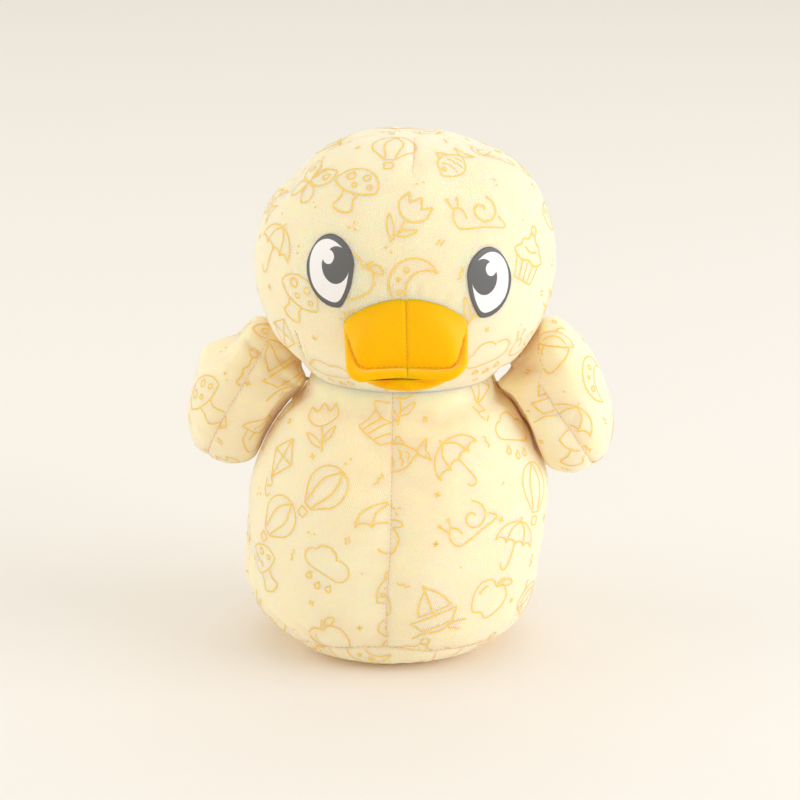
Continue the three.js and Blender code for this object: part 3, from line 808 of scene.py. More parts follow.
def laid_flat(rows, pole, across, along):
    # A panel opened out flat: each line of points from its middle is laid straight, at its own length.
    from_pole = np.concatenate([np.broadcast_to(pole, rows[:1].shape), rows])
    lengths = np.cumsum(np.linalg.norm(np.diff(from_pole, axis=0), axis=2), axis=0)
    flat = np.stack([(rows - pole) @ across, (rows - pole) @ along], -1)
    return flat / np.maximum(np.linalg.norm(flat, axis=2, keepdims=True), 1e-9) * lengths[..., None]


# Folds that the photograph shows, by pixels of its frame along each. A tuck has its lift, its drop and
# its width in mm before them, and a crease its depth and its width.
wing_tucks = {
    "right": (
        (2.4, 4.2, 3.2, ((242, 338), (253, 345.5), (263, 351), (276, 354.5), (290, 357))),
        (1.8, 3.8, 3.4, ((297, 391), (286, 384), (275, 376), (268, 367), (260, 354)))),
    "left": (
        (1.4, 2.6, 3.0, ((556, 351), (545, 351.5), (534, 356), (524, 363), (514, 372))),
        (1.0, 1.8, 2.6, ((566, 324), (556, 328), (546, 331), (536, 336))))}
wing_folds = {
    "right": (
        (0.9, 1.6, ((197, 426), (205, 434), (211, 439))), (0.6, 1.6, ((236, 352), (226, 358), (216, 366))),
        (0.5, 1.6, ((240, 362), (230, 370), (222, 380)))),
    "left": (
        (0.9, 1.5, ((548, 341), (562, 342), (576, 346))), (0.7, 1.4, ((546, 346), (560, 348), (572, 353))),
        (2.4, 2.0, ((513, 382), (517, 400), (523, 420), (528, 438))),
        (0.8, 1.6, ((568, 424), (574, 419), (578, 413))))}
# How much fuller the wing is, in mm, towards its upper (1) or lower (-1) end, from how far round it.
wing_swell = {
    "right": ((-11.0, 1, 40, 22), (3.0, 1, 73, 9.5), (-2.0, -1, 5, 40)),
    "left": ((2.6, 1, 8, 30), (-0.6, 1, 56, 16), (-1.0, -1, 24, 36))}
# How far the rim seam leans, as an angle round the wing, at the lower and the upper end of its front.
seam_sway = {"right": (0.27, -0.2), "left": (0.3, -0.36)}
wing_half_run = 56 * mm
wing_rim_run = 42 * mm
sewn_margin = 6 * mm
wing_covers = {}
wing_rims = {}
for hand, side, reach, neck_notch in (("left", 1, 94.6 * mm, 6.5 * mm), ("right", -1, 88.5 * mm, 4.0 * mm)):
    stop_at = neighbour_wall(side, neck_notch)
    turns = np.linspace(0, 2 * math.pi, 196, endpoint=False)
    lengths = closely_spaced(-wing_half_run, wing_half_run, 1.4 * mm, [0.0], near_seam)
    rise_line = np.radians(np.interp(lengths, [-wing_half_run, wing_half_run], [-88, 88]))
    rises = np.broadcast_to(rise_line[:, None], (len(rise_line), len(turns))).copy()
    angles = np.broadcast_to(-side * turns, rises.shape)
    low_sway, high_sway = seam_sway[hand]
    sway = mix(low_sway, high_sway, (np.cos(angles) + 1) / 2) * (0.5 - 0.5 * np.sin(angles))
    rises += sway * np.exp(-(rises / 0.7) ** 2)
    rows = wing_skin(side, reach, stop_at, rises, angles)
    from_rim = np.broadcast_to(np.abs(lengths)[:, None], rises.shape)
    distance = np.hypot(*from_shoulder(rows))
    fixed = (distance < wing_root_radius + sewn_margin) & (rises < 0)
    swell = np.full(rises.shape, -0.8 * mm)
    for amount, end, middle, width in wing_swell[hand]:
        at_end = np.clip(np.cos(angles) * end, 0, 1) ** 2
        swell += amount * mm * at_end * np.exp(-((np.degrees(rises) - middle) / width) ** 2)
    rows = rows + outward(rows) * swell[..., None]
    rows = rows + stuffed(hand + "_wing_filled", rows, np.exp(-from_rim / (4 * mm)), fixed, 5 * mm)
    skin = skin_tree(rows)
    for lift, sink, width, pixels in wing_tucks[hand]:
        rows = tucked(rows, seen_on(skin, *pixels), lift * mm, sink * mm, width * mm)
    for depth, width, pixels in wing_folds[hand]:
        rows = folded(rows, seen_on(skin, *pixels), depth * mm, width * mm)
    press = sewn_in(from_rim, turns[None, :] * wing_rim_run, 0.0125, 1.0 + side, 1.0 * mm, 0.5 * mm)
    rows = rows - outward(rows) * press[..., None]
    stop = stop_at(rows)
    free = rows[..., 0] * side - stop
    rows[..., 0] = side * kept_outside(settled(rows[..., 0] * side, stop, rises, 9 * mm), stop)
    at_edge = np.exp(-((free - 2 * mm) / (4 * mm)) ** 2) * ease(distance, 22 * mm, 30 * mm)
    rows = evened(rows, 0.6 * at_edge)
    rows[..., 0] = side * np.maximum(rows[..., 0] * side, stop_at(rows))
    ends = wing_skin(side, reach, stop_at, np.array([-math.pi / 2, math.pi / 2]), np.zeros(2))
    wing_panel = np.broadcast_to((lengths[:-1] >= 0)[:, None].astype(int), (len(lengths) - 1, len(turns)))
    across = np.array([0, side, 0])
    along = np.array([-math.sin(wing_tilt) * side, 0, math.cos(wing_tilt)])
    inner = at_corners(laid_flat(rows, ends[0], across, along))
    outer = at_corners(laid_flat(rows[::-1], ends[1], across, along)[::-1])
    weave = np.where((wing_panel == 0)[..., None, None], inner, outer)
    cover = skin_object(hand + "_wing_cover", rows, ends[0], ends[1], wing_panel, weave)
    cover.data.materials.append(printed_twill)
    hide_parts(hand + "_wing_outer", hand + "_wing_inner", hand + "_wing_filling")
    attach(cover, hand + "_wing")
    wing_covers[hand] = cover
    rim = int(np.abs(lengths).argmin())
    wing_rims[hand] = [rows[rim, run] for run in runs_of(free[rim] > 1.5 * mm)]

# Upper bill: two top panels of yellow-orange twill with a centre seam, padded, and topstitched to
# an underside a few millimetres in from the edge, so that a soft rim stands out round it.
bill_place = (head_place @ Matrix.Rotation(math.radians(0.5), 4, "Z")
              @ Matrix.Rotation(math.radians(-5), 4, "Y"))
bill_root = 62 * mm
bill_tip = 116 * mm
bill_half_from = 72 * mm
bill_half_at_face = 33.4 * mm
bill_half_at_tip = 31.6 * mm
bill_left_corner = 14 * mm
bill_right_corner = 10 * mm
bill_level_from = 52 * mm
bill_level_run = 62 * mm
bill_drop_at_face = 2 * mm
bill_drop_at_tip = 27.5 * mm
bill_rim_width = 6.6 * mm
bill_rim_middle = 1.3 * mm
bill_rim_over = 1.6 * mm
bill_rim_under = 1.4 * mm
bill_tuck = 0.4 * mm
stitched_tip = bill_tip - bill_rim_width
stitched_from = 79 * mm
side_power = 9
tip_power = 16
head_bvh = tree_of(head_cover.data)


def bill_half_width(forward, corner):
    share = (forward - bill_half_from) / (bill_tip - bill_half_from)
    left = np.clip(bill_tip - forward, 0, corner)
    rounding = np.sqrt(np.maximum(corner ** 2 - (corner - left) ** 2, 0))
    return mix(bill_half_at_face, bill_half_at_tip, share) - corner + rounding


def bill_level(forward):
    return -mix(bill_drop_at_face, bill_drop_at_tip, (forward - bill_level_from) / bill_level_run)


def rim_wave(x, forward):
    return 0.7 * mm * np.cos(x / (7 * mm) + 0.8) * ease(forward, 100 * mm, bill_tip)


def against_face(rows):
    # Each line of points runs out of the head, and starts where it meets the face.
    for column in range(rows.shape[1]):
        depth = []
        for point in rows[:, column]:
            hit = head_bvh.ray_cast(Vector((point[0], -0.3, point[2])), Vector((0, 1, 0)))[0]
            depth.append(point[1] - hit.y - bill_tuck if hit is not None else -1.0)
        hidden = [i for i, value in enumerate(depth) if value > 0]
        if hidden and hidden[-1] + 1 < len(rows):
            last = hidden[-1]
            share = depth[last] / (depth[last] - depth[last + 1])
            rows[:last + 1, column] = mix(rows[last, column], rows[last + 1, column], share)
    return rows


def ringed(top, bottom):
    # Two stacked grids of points, joined round their edge into one closed ring for each row.
    return np.concatenate([top, bottom[:, -2:0:-1]], 1)[:, ::-1]


def woven(mesh, places):
    # Gives each point of a mesh its place on the flat cloth.
    weave = mesh.uv_layers.new(name="weave")
    index = values_of(mesh.loops, "vertex_index", kind=int)
    weave.data.foreach_set("uv", places[index].astype(np.float32).ravel())


def padded_sheet(name, top, bottom, top_flat, bottom_flat):
    # A closed padded piece from its upper and its lower side, whose rings start at the face.
    rows = against_face(moved(bill_place, ringed(top, bottom)))
    flat = ringed(top_flat, bottom_flat)
    mesh = closed_grid(name, rows, rows[0].mean(0), rows[-1].mean(0))
    woven(mesh, np.vstack([flat.reshape(-1, 2), flat[0].mean(0), flat[-1].mean(0)]))
    shape = bmesh.new()
    shape.from_mesh(mesh)
    bmesh.ops.remove_doubles(shape, verts=shape.verts, dist=0.01 * mm)
    bmesh.ops.dissolve_degenerate(shape, edges=shape.edges, dist=0.005 * mm)
    shape.to_mesh(mesh)
    shape.free()
    mesh.polygons.foreach_set("use_smooth", [True] * len(mesh.polygons))
    return placed(name, mesh)


def opened_flat(grid):
    # The place of each point of a grid on flat cloth, by its distance over the cloth from the middle.
    over = np.cumsum(np.linalg.norm(np.diff(grid, axis=1, prepend=grid[:, :1]), axis=2), axis=1)
    middle = over[:, over.shape[1] // 2][:, None]
    down = np.cumsum(np.linalg.norm(np.diff(grid, axis=0, prepend=grid[:1]), axis=2), axis=0)
    down = np.broadcast_to(down[:, down.shape[1] // 2][:, None], over.shape)
    return np.stack([over - middle, -down], -1)


def stitched_half_width(forward):
    share = (forward - stitched_from) / (stitched_tip - stitched_from)
    return np.maximum(mix(32.3 * mm, 26.0 * mm, share), 1 * mm)


steps = np.sin(np.linspace(0, math.pi / 2, 30))
forward = np.concatenate([np.linspace(bill_root, bill_tip - bill_left_corner, 56)[:-1],
                          bill_tip - bill_left_corner + bill_left_corner * steps])
across = np.linspace(-1, 1, 111)
forward_grid, across_grid = np.meshgrid(forward, across, indexing="ij")
outer = bill_half_width(forward_grid, np.where(across_grid > 0, bill_left_corner, bill_right_corner))
x = across_grid * outer
stitched = stitched_half_width(forward_grid)
side_place = np.abs(x) / stitched
tip_place = np.clip((forward_grid - bill_root) / (stitched_tip - bill_root), 0, 2)
footprint = (side_place ** side_power + tip_place ** tip_power) ** (1 / side_power)
inside = np.clip(1 - footprint, 0, 1)
to_stitches = np.abs(1 - footprint) * stitched
to_edge = np.minimum(outer - np.abs(x), bill_tip - forward_grid)
roll = np.sqrt(np.clip(1 - (1 - np.clip(to_edge / (1.7 * mm), 0, 1)) ** 2, 0, 1))
swell = mix(27.8 * mm, 8.0 * mm, (forward_grid - bill_level_from) / (stitched_tip - bill_level_from))
near_tip = ease(forward_grid, 80 * mm, 102 * mm)
arch = np.clip(1 - np.clip(side_place, 0, 1) ** mix(2.0, 2.9, near_tip), 0, 1) ** mix(0.84, 0.52, near_tip)
nose = np.clip(1 - np.clip(tip_place, 0, 1) ** 7, 0, 1) ** 0.5
pillow = swell * arch * nose * (inside > 0)
rim_puff = 0.6 * mm * np.sin(np.clip(to_edge / bill_rim_width, 0, 1) * math.pi) * (inside <= 0)
rim_puff *= ease(forward_grid, 82 * mm, 94 * mm)
level = bill_level(forward_grid) + rim_wave(x, forward_grid)
top_height = level - bill_rim_middle + bill_rim_over * roll + pillow + rim_puff
centre_groove = 1.2 * mm * np.exp(-np.abs(x) / (0.8 * mm)) * ease(forward_grid, 70 * mm, 80 * mm)
top_height -= np.maximum(0.8 * mm * np.exp(-to_stitches / (1.1 * mm)), centre_groove) * roll
dimples = puckers(x, 6.5 * mm, 0.5) * np.exp(-to_stitches / (3.5 * mm)) * (inside > 0)
top_height -= 0.5 * mm * dimples * roll
low_height = level - bill_rim_middle - bill_rim_under * roll
bill_top_grid = np.stack([x, -forward_grid, top_height], -1)
bill_low_grid = np.stack([x, -forward_grid, low_height], -1)
top_flat = opened_flat(bill_top_grid)
low_flat = top_flat.copy()
low_flat[..., 0] = across_grid * np.abs(top_flat[:, :1, 0])
upper_bill = padded_sheet("upper_bill_cover", bill_top_grid, bill_low_grid, top_flat, low_flat)
bill_twill = twill("yellow_orange_cotton_twill", "#ffc004", "#fca002", 0.5, 0.05, 6 * mm)
upper_bill.data.materials.append(bill_twill)
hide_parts("bill_top_left", "bill_top_right", "bill_filling", "bill_underside")
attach(upper_bill, "head")


# Lower bill: a small padded lip of the same twill, sewn into the seam under the upper bill.
lip_tip = 116 * mm
lip_straight = 88 * mm
lip_half_width = 27 * mm
lip_level_from = 76 * mm
lip_drop_at_face = 30.5 * mm
lip_drop_at_tip = 34.9 * mm
lip_under_bill = 2.3 * mm
lip_edge_height = 0.8 * mm
lip_rise = 14 * mm
lip_depth = 4.2 * mm
forward = np.concatenate([
    np.linspace(bill_root, lip_straight, 26)[:-1], lip_straight + (lip_tip - lip_straight) * steps])
forward_grid, across_grid = np.meshgrid(forward, np.linspace(-1, 1, 61), indexing="ij")
past = np.clip((forward_grid - lip_straight) / (lip_tip - lip_straight), 0, 1)
outer = np.maximum(lip_half_width * (1 - past ** 1.8) ** (1 / 1.8), 3 * mm)
x = across_grid * outer
middle_place = np.clip(((np.abs(x) / lip_half_width) ** 1.9 + past ** 1.9) ** (1 / 1.9), 0, 1)
roll = np.sqrt(1 - middle_place ** 3) * ease(outer - np.abs(x), -1e-6, 1.5 * mm)
tip_share = (forward_grid - lip_level_from) / (lip_tip - lip_level_from)
level = -mix(lip_drop_at_face, lip_drop_at_tip, tip_share)
wave = rim_wave(x, forward_grid)
lip_roof = bill_level(forward_grid) + wave - lip_under_bill
lip_edge = level + wave + lip_edge_height
lip_height = np.minimum(lip_edge + lip_rise * roll, np.maximum(lip_roof, lip_edge))
lip_top = np.stack([x, -forward_grid, lip_height], -1)
lip_low = np.stack([x, -forward_grid, level - lip_depth * roll], -1)
flat = opened_flat(lip_top)
lower_bill = padded_sheet("lower_bill_cover", lip_top, lip_low, flat, flat)
lower_bill.data.materials.append(bill_twill)
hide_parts("lower_bill")
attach(lower_bill, "head")


# Eyes: each is one piece of printed transfer film pressed onto the twill, so it follows the face
# and the weave shows through it. Dark grey ink leaves a white ground and a white highlight.
eye_outline_shares = [
    (0.02, 1.0), (-0.2, 0.975), (-0.44, 0.89), (-0.66, 0.73), (-0.83, 0.54), (-0.95, 0.33), (-1.0, 0.13),
    (-0.96, -0.13), (-0.85, -0.37), (-0.69, -0.58), (-0.47, -0.76), (-0.2, -0.9), (0.07, -0.975),
    (0.32, -1.0), (0.46, -0.96), (0.59, -0.84), (0.73, -0.65), (0.84, -0.46), (0.92, -0.24), (0.97, -0.01),
    (1.0, 0.16), (0.97, 0.33), (0.865, 0.54), (0.7, 0.715), (0.48, 0.87), (0.24, 0.967)]
eye_white_shares = [
    (0.52, 0.61), (0.43, 0.665), (0.26, 0.76), (0.07, 0.83), (-0.14, 0.86), (-0.39, 0.82), (-0.61, 0.7),
    (-0.757, 0.54), (-0.85, 0.33), (-0.875, 0.09), (-0.84, -0.15), (-0.744, -0.36), (-0.61, -0.515),
    (-0.42, -0.66), (-0.17, -0.775), (0.05, -0.84), (0.24, -0.853), (0.4, -0.79), (0.54, -0.636),
    (0.65, -0.445), (0.714, -0.27), (0.768, -0.05), (0.71, -0.14), (0.62, -0.225), (0.52, -0.29),
    (0.4, -0.34), (0.24, -0.362), (0.05, -0.335), (-0.14, -0.24), (-0.28, -0.1), (-0.35, 0.06),
    (-0.36, 0.2), (-0.32, 0.31), (-0.25, 0.235), (-0.17, 0.19), (-0.08, 0.178), (0.03, 0.2),
    (0.11, 0.265), (0.155, 0.36), (0.13, 0.46), (0.06, 0.53), (-0.035, 0.57), (0.06, 0.625),
    (0.18, 0.655), (0.3, 0.66), (0.42, 0.64)]


def between(a, b, first, last, count):
    # Points on a smooth curve from a up to b, which leaves a along first and comes in along last.
    return [(2 * t ** 3 - 3 * t ** 2 + 1) * a + (t ** 3 - 2 * t ** 2 + t) * first
            + (3 * t ** 2 - 2 * t ** 3) * b + (t ** 3 - t ** 2) * last
            for t in np.linspace(0, 1, count, endpoint=False)]


def rounded(loop):
    # A smooth closed curve through the points, which keeps its sharp tips.
    points = np.array(loop)
    turn = []
    for i in range(len(points)):
        before = points[i] - points[i - 1]
        after = points[(i + 1) % len(points)] - points[i]
        turn.append(before @ after < 0)
    made = []
    for i in range(len(points)):
        a, b = points[i], points[(i + 1) % len(points)]
        before = a if turn[i] else points[i - 1]
        after = b if turn[(i + 1) % len(points)] else points[(i + 2) % len(points)]
        made += between(a, b, (b - before) / 2, (after - a) / 2, 4)
    return np.array(made)


def within(points, loop):
    # Whether each point lies inside a closed loop.
    x, y = points[:, 0][:, None], points[:, 1][:, None]
    ax, ay = loop[:, 0], loop[:, 1]
    bx, by = np.roll(ax, -1), np.roll(ay, -1)
    crosses = ((ay > y) != (by > y)) & (x < (bx - ax) * (y - ay) / np.where(by == ay, 1, by - ay) + ax)
    return crosses.sum(1) % 2 == 1


eye_ink = new_material("dark_grey_transfer_film")
eye_ground = new_material("white_transfer_film")
for material, colour in ((eye_ink, "#605f5f"), (eye_ground, "#f1eeee")):
    tree = material.node_tree
    cloth = add_node(tree, "ShaderNodeUVMap", {}, uv_map="weave")
    turned = add_node(tree, "ShaderNodeMapping", {"Vector": cloth.outputs[0], "Rotation": rib_slant})
    ribs = add_node(tree, "ShaderNodeTexWave", {
        "Vector": turned.outputs[0], "Scale": rib_scale, "Distortion": 0.8},
        wave_type="BANDS", bands_direction="X")
    relief = add_node(tree, "ShaderNodeBump", {
        "Height": ribs.outputs["Fac"], "Strength": 0.5, "Distance": 0.04 * mm})
    wear = add_node(tree, "ShaderNodeTexNoise", {
        "Vector": cloth.outputs[0], "Scale": 400.0, "Detail": 2.0})
    gloss = add_node(tree, "ShaderNodeMapRange", {
        "Value": wear.outputs["Fac"], "To Min": 0.3, "To Max": 0.48})
    film = add_node(tree, "ShaderNodeBsdfPrincipled", {
        "Base Color": linear(colour), "Roughness": gloss.outputs[0], "Normal": relief.outputs[0]})
    add_node(tree, "ShaderNodeOutputMaterial", {"Surface": film.outputs[0]})

outline, white = rounded(eye_outline_shares), rounded(eye_white_shares)
eye_grid = np.stack(np.meshgrid(np.arange(-1, 1, 0.07), np.arange(-1, 1, 0.045)), -1).reshape(-1, 2)
film_lift = 0.35 * mm
film_sink = 0.1 * mm
film_half_size = (14 * mm, 18.5 * mm)
for hand, middle, half_size in (
        ("left", (488.9, 282.2), (-21.9, 35.4)), ("right", (330.6, 270.6), (23.6, 36.9))):
    spare = eye_grid[within(eye_grid, outline * 0.97)]
    flat_points = [Vector(p) for p in np.vstack([outline, white, spare])]
    edges = []
    for loop, start in ((outline, 0), (white, len(outline))):
        edges += [(start + i, start + (i + 1) % len(loop)) for i in range(len(loop))]
    places, _, triangles, _, _, _ = delaunay_2d_cdt(flat_points, edges, [], 0, 1e-6)
    places = np.array([list(p) for p in places])
    triangles = np.array(triangles)
    triangles = triangles[within(places[triangles].mean(1), outline)]
    shade = within(places[triangles].mean(1), white).astype(int)
    top, bottom = [], []
    for place in places:
        line = sight(middle[0] + place[0] * half_size[0], middle[1] - place[1] * half_size[1])
        hit, normal, _, _ = head_bvh.ray_cast(camera.location, line)
        top.append(hit + normal * film_lift)
        bottom.append(hit - normal * film_sink)
    count = len(places)
    if half_size[0] < 0:
        triangles = triangles[:, ::-1]
    upper = triangles.tolist()
    lower = (triangles[:, ::-1] + count).tolist()
    used = dict.fromkeys(pair for a, b, c in upper for pair in ((a, b), (b, c), (c, a)))
    walls = [(b, a, a + count, b + count) for a, b in used if (b, a) not in used]
    mesh = bpy.data.meshes.new("eye_" + hand + "_film")
    mesh.from_pydata(top + bottom, [], upper + lower + walls)
    mesh.materials.append(eye_ink)
    mesh.materials.append(eye_ground)
    mesh.polygons.foreach_set("material_index", shade.tolist() * 2 + [0] * len(walls))
    mesh.polygons.foreach_set("use_smooth", [True] * (2 * len(upper)) + [False] * len(walls))
    woven(mesh, np.vstack([places, places]) * film_half_size)
    film_piece = placed("eye_" + hand + "_film", mesh)
    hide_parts("eye_" + hand)
    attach(film_piece, "head")

# Print: orange line drawings, screen printed on the cream twill before it was cut, so that a seam
# cuts through them. A line is about 1 mm wide, and each drawing about 28 mm across, all tilted.
ink = new_material("orange_screen_print_ink")
tree = ink.node_tree
place = add_node(tree, "ShaderNodeTexCoord", {})
threads = add_node(tree, "ShaderNodeTexNoise", {
    "Vector": place.outputs["Object"], "Scale": 1400.0, "Detail": 2.0})
soaked = add_node(tree, "ShaderNodeMapRange", {
    "Value": threads.outputs["Fac"], "From Min": 0.35, "From Max": 0.7, "To Min": 0.0, "To Max": 0.55})
tone = add_node(tree, "ShaderNodeMix", {
    "Factor": soaked.outputs[0], "A": linear("#f3cc50"), "B": linear("#f6df90")}, data_type="RGBA")
relief = add_node(tree, "ShaderNodeBump", {
    "Height": threads.outputs["Fac"], "Strength": 0.5, "Distance": 0.05 * mm})
printed = add_node(tree, "ShaderNodeBsdfPrincipled", {
    "Base Color": tone.outputs["Result"], "Roughness": 0.8, "Sheen Weight": 0.1, "Normal": relief.outputs[0]})
add_node(tree, "ShaderNodeOutputMaterial", {"Surface": printed.outputs[0]})


def bow(x, y, wide, high, start=0, end=360):
    # Part of an oval, by its middle, half sizes and the angles at its ends.
    turn = np.radians(np.linspace(start, end, max(int(abs(end - start) / 15), 4) + 1))
    return np.stack([x + wide * np.cos(turn), y + high * np.sin(turn)], 1)


def straight(*points):
    return np.array(points, float)


def bent(*points):
    # A smooth line through the points.
    points = np.array(points, float)
    padded = np.vstack([2 * points[0] - points[1], points, 2 * points[-1] - points[-2]])
    made = []
    for before, a, b, after in zip(padded, padded[1:], padded[2:], padded[3:]):
        made += between(a, b, (b - before) / 2, (after - a) / 2, 6)
    return np.vstack([made, points[-1]])


mushroom = [
    bow(0, 2, 13, 11, 0, 180), bent((-13, 2), (-7, -1), (0, -2), (7, -1), (13, 2)), bow(-5.5, 7, 2.3, 2.2),
    bow(3.5, 8.5, 1.9, 1.8), bow(8, 4, 1.3, 1.3), bow(-0.5, 2.6, 1.4, 1.3),
    bent((-4.5, -1.7), (-3.8, -6), (-5.5, -11), (0, -13), (5.5, -11), (3.8, -6), (4.5, -1.7))]
acorn = [
    bow(0, 4, 9.5, 6.5, 0, 180), bent((-9.5, 4), (-5, 1.6), (0, 1), (5, 1.6), (9.5, 4)),
    bent((-8, 2.6), (-7, -5), (0, -13), (7, -5), (8, 2.6)), bent((0, 10.5), (0.8, 13), (3.4, 14.5)),
    bow(0, 2.2, 6.2, 5, 20, 160), bow(-3, -2, 2.4, 5, 120, 200)]
tulip = [
    bent((-7, 11), (-8, 4), (-4, -1), (0, -2), (4, -1), (8, 4), (7, 11)),
    straight((-7, 11), (-3.5, 6.5), (0, 12), (3.5, 6.5), (7, 11)), bent((0, -2), (0.6, -8), (0, -16)),
    bent((0, -14), (-5, -11), (-9, -4), (-4, -7), (0, -12)),
    bent((0.5, -11), (5, -9), (8, -3), (3.5, -6), (0.6, -9))]
apple = [
    bent((0, 7), (5, 9), (10.5, 5), (10.5, -3), (5.5, -10.5), (0, -9), (-5.5, -10.5), (-10.5, -3),
         (-10.5, 5), (-5, 9), (0, 7)),
    bent((0, 7), (0.4, 10), (2.4, 13)), bent((1.6, 10), (6, 13.6), (10, 12.6), (6, 9.4), (1.6, 10)),
    bow(-4.6, 0.5, 3, 4.6, 100, 200)]
umbrella = [
    bow(0, 0, 14.5, 12.5, 0, 180), bow(-10.8, 0, 3.7, 2.2, 0, 180), bow(-3.6, 0, 3.6, 2.2, 0, 180),
    bow(3.6, 0, 3.6, 2.2, 0, 180), bow(10.8, 0, 3.7, 2.2, 0, 180), bent((0, 12.5), (-5, 8), (-7.2, 0)),
    bent((0, 12.5), (5, 8), (7.2, 0)), straight((0, 12.5), (0, 15)), straight((0, 1.8), (0, -11)),
    bow(-2.7, -11, 2.7, 3.2, 180, 360)]
sailing_boat = [
    straight((-13, -5), (13, -5), (8, -12), (-8.5, -12), (-13, -5)), straight((0, -5), (0, 14.5)),
    bent((0, 13.5), (7, 6), (10.5, -2.4)), straight((10.5, -2.4), (0, -2.4)),
    bent((0, 11), (-5, 5), (-8, -2.4)), straight((-8, -2.4), (0, -2.4)),
    bent((-15, -15), (-8, -13.6), (0, -15.4), (8, -13.6), (15, -15))]
kite = [
    straight((0, 15), (9, 4), (0, -9), (-9, 4), (0, 15)), straight((0, 15), (0, -9)),
    straight((-9, 4), (9, 4)), bent((0, -9), (3.4, -12), (-1.4, -15.4), (2.2, -19)),
    straight((-3.4, -11.2), (-1.2, -14.6)), straight((4.4, -15.8), (3.2, -19.2))]
balloon = [
    bow(0, 5, 11, 11.5, -48, 228), bent((-7.4, -3.6), (-4, -8), (-2.6, -9.6)),
    bent((7.4, -3.6), (4, -8), (2.6, -9.6)), bent((0, 16.5), (-4.6, 6), (-2.4, -8)),
    bent((0, 16.5), (4.6, 6), (2.4, -8)), straight((-2.6, -9.6), (2.6, -9.6)),
    straight((-2.4, -12), (-2, -16.4), (2, -16.4), (2.4, -12), (-2.4, -12))]
raincloud = [
    bow(-8.5, 1, 5, 5, 95, 270), bow(-2.5, 5, 6.6, 6.4, 20, 165), bow(6.8, 2.6, 6, 6, -80, 115),
    straight((-8.5, -4), (7.8, -3.4)), bent((-6, -7), (-7.6, -10.4), (-6, -11.6), (-4.4, -10.4), (-6, -7)),
    bent((0.6, -9), (-1, -12.4), (0.6, -13.6), (2.2, -12.4), (0.6, -9)),
    bent((6.6, -7), (5, -10.4), (6.6, -11.6), (8.2, -10.4), (6.6, -7))]
fish = [
    bent((-14, 0), (-8, 6), (0, 7), (7, 2.4), (9.4, 0)),
    bent((-14, 0), (-8, -5.6), (0, -6.6), (7, -2.4), (9.4, 0)),
    straight((8.6, 0.8), (15, 6), (13.4, 0), (15, -6), (8.6, -0.8)), bow(-9, 1.4, 1.1, 1.1),
    bow(-7.5, 0, 3.4, 5, -60, 60), bow(-1.4, 1.6, 2, 2.4, -70, 70), bow(-1.4, -2.6, 2, 2.2, -70, 70),
    bow(2.8, -0.4, 1.8, 2.2, -70, 70), bent((-3, 6.8), (1, 10.4), (4, 4.6))]
snail = [
    bent(*[((1.2 + t) * math.cos(t) + 1, (1.2 + t) * math.sin(t)) for t in 0.62 * np.arange(13)]),
    bent((9.3, -2.8), (13, -8), (0, -9), (-12, -9.6), (-15, -4), (-13, 1), (-9.6, 0), (-8, -4.6)),
    straight((-14.2, 0.4), (-16.6, 5)), straight((-11.6, 1), (-11.2, 5.8)), bow(-16.8, 5.6, 0.7, 0.7),
    bow(-11.2, 6.4, 0.7, 0.7)]
butterfly = [
    bent((0.5, 2), (4, 10), (11, 12), (13.6, 6), (9, 0.6), (0.6, -0.6)),
    bent((0.6, -0.8), (8, -2), (10, -7), (6, -11), (2, -8), (0.5, -3)),
    bent((-0.5, 2), (-4, 10), (-11, 12), (-13.6, 6), (-9, 0.6), (-0.6, -0.6)),
    bent((-0.6, -0.8), (-8, -2), (-10, -7), (-6, -11), (-2, -8), (-0.5, -3)), straight((0, 4), (0, -7)),
    bent((0, 4), (1, 8), (3, 10.6)), bent((0, 4), (-1, 8), (-3, 10.6)), bow(8.4, 6.6, 1.8, 1.8),
    bow(-8.4, 6.6, 1.8, 1.8)]
moon = [
    bow(0, 0, 12.5, 12.5, 55, 305), bow(7, 0, 10.4, 10.3, 92, 268), straight((7.2, 10.2), (6.6, 10.3)),
    bow(-6.8, 3.6, 1.3, 1.3), bow(-7.6, -2.6, 0.9, 0.9), bow(-3.6, -7.6, 1.4, 1.4)]
cupcake = [
    straight((-9.4, -1), (-6.6, -12), (6.6, -12), (9.4, -1)), straight((-4.6, -1.6), (-3.4, -11.6)),
    straight((0, -1.6), (0, -11.6)), straight((4.6, -1.6), (3.4, -11.6)),
    bent((-9.4, -1), (-12, 1.6), (-9.6, 4), (-8, 5), (-7, 8), (-3.6, 9), (-1.6, 12), (2, 12), (3.6, 9),
         (7, 8), (8, 5), (9.6, 4), (12, 1.6), (9.4, -1), (4.6, -2.4), (0, -1), (-4.6, -2.4), (-9.4, -1)),
    bow(0.4, 14.6, 2.3, 2.3), bent((-5, 4.6), (0, 3), (5.4, 4.8))]
drawings = [mushroom, acorn, tulip, apple, umbrella, sailing_boat, kite, balloon, raincloud, fish, snail,
            butterfly, moon, cupcake]
fillers = [
    [bow(0, 0, 1.3, 1.3)],
    [straight((-2.6, 0), (-0.6, 0)), straight((0.8, 1.4), (2.6, 2.4)), straight((0.8, -1.4), (2.6, -2.4))],
    [straight((-1.8, 0), (1.8, 0)), straight((0, -1.8), (0, 1.8))], [bow(0, 0, 0.45, 0.45)],
    [bent((-3.6, 0), (-1.8, 1.5), (0, 0), (1.8, 1.5), (3.6, 0))],
    [straight((-0.8, -1.8), (0.8, 1.8)), straight((1.4, -1.8), (3, 1.8))],
    [bow(0, 0, 0.6, 0.6), bow(3.2, 2.2, 0.45, 0.45)]]


def evenly(line, step):
    lengths = run_length(line)
    places = np.linspace(0, lengths[-1], max(int(round(lengths[-1] / step)), 2) + 1)
    return np.stack([np.interp(places, lengths, line[:, i]) for i in (0, 1)], 1)


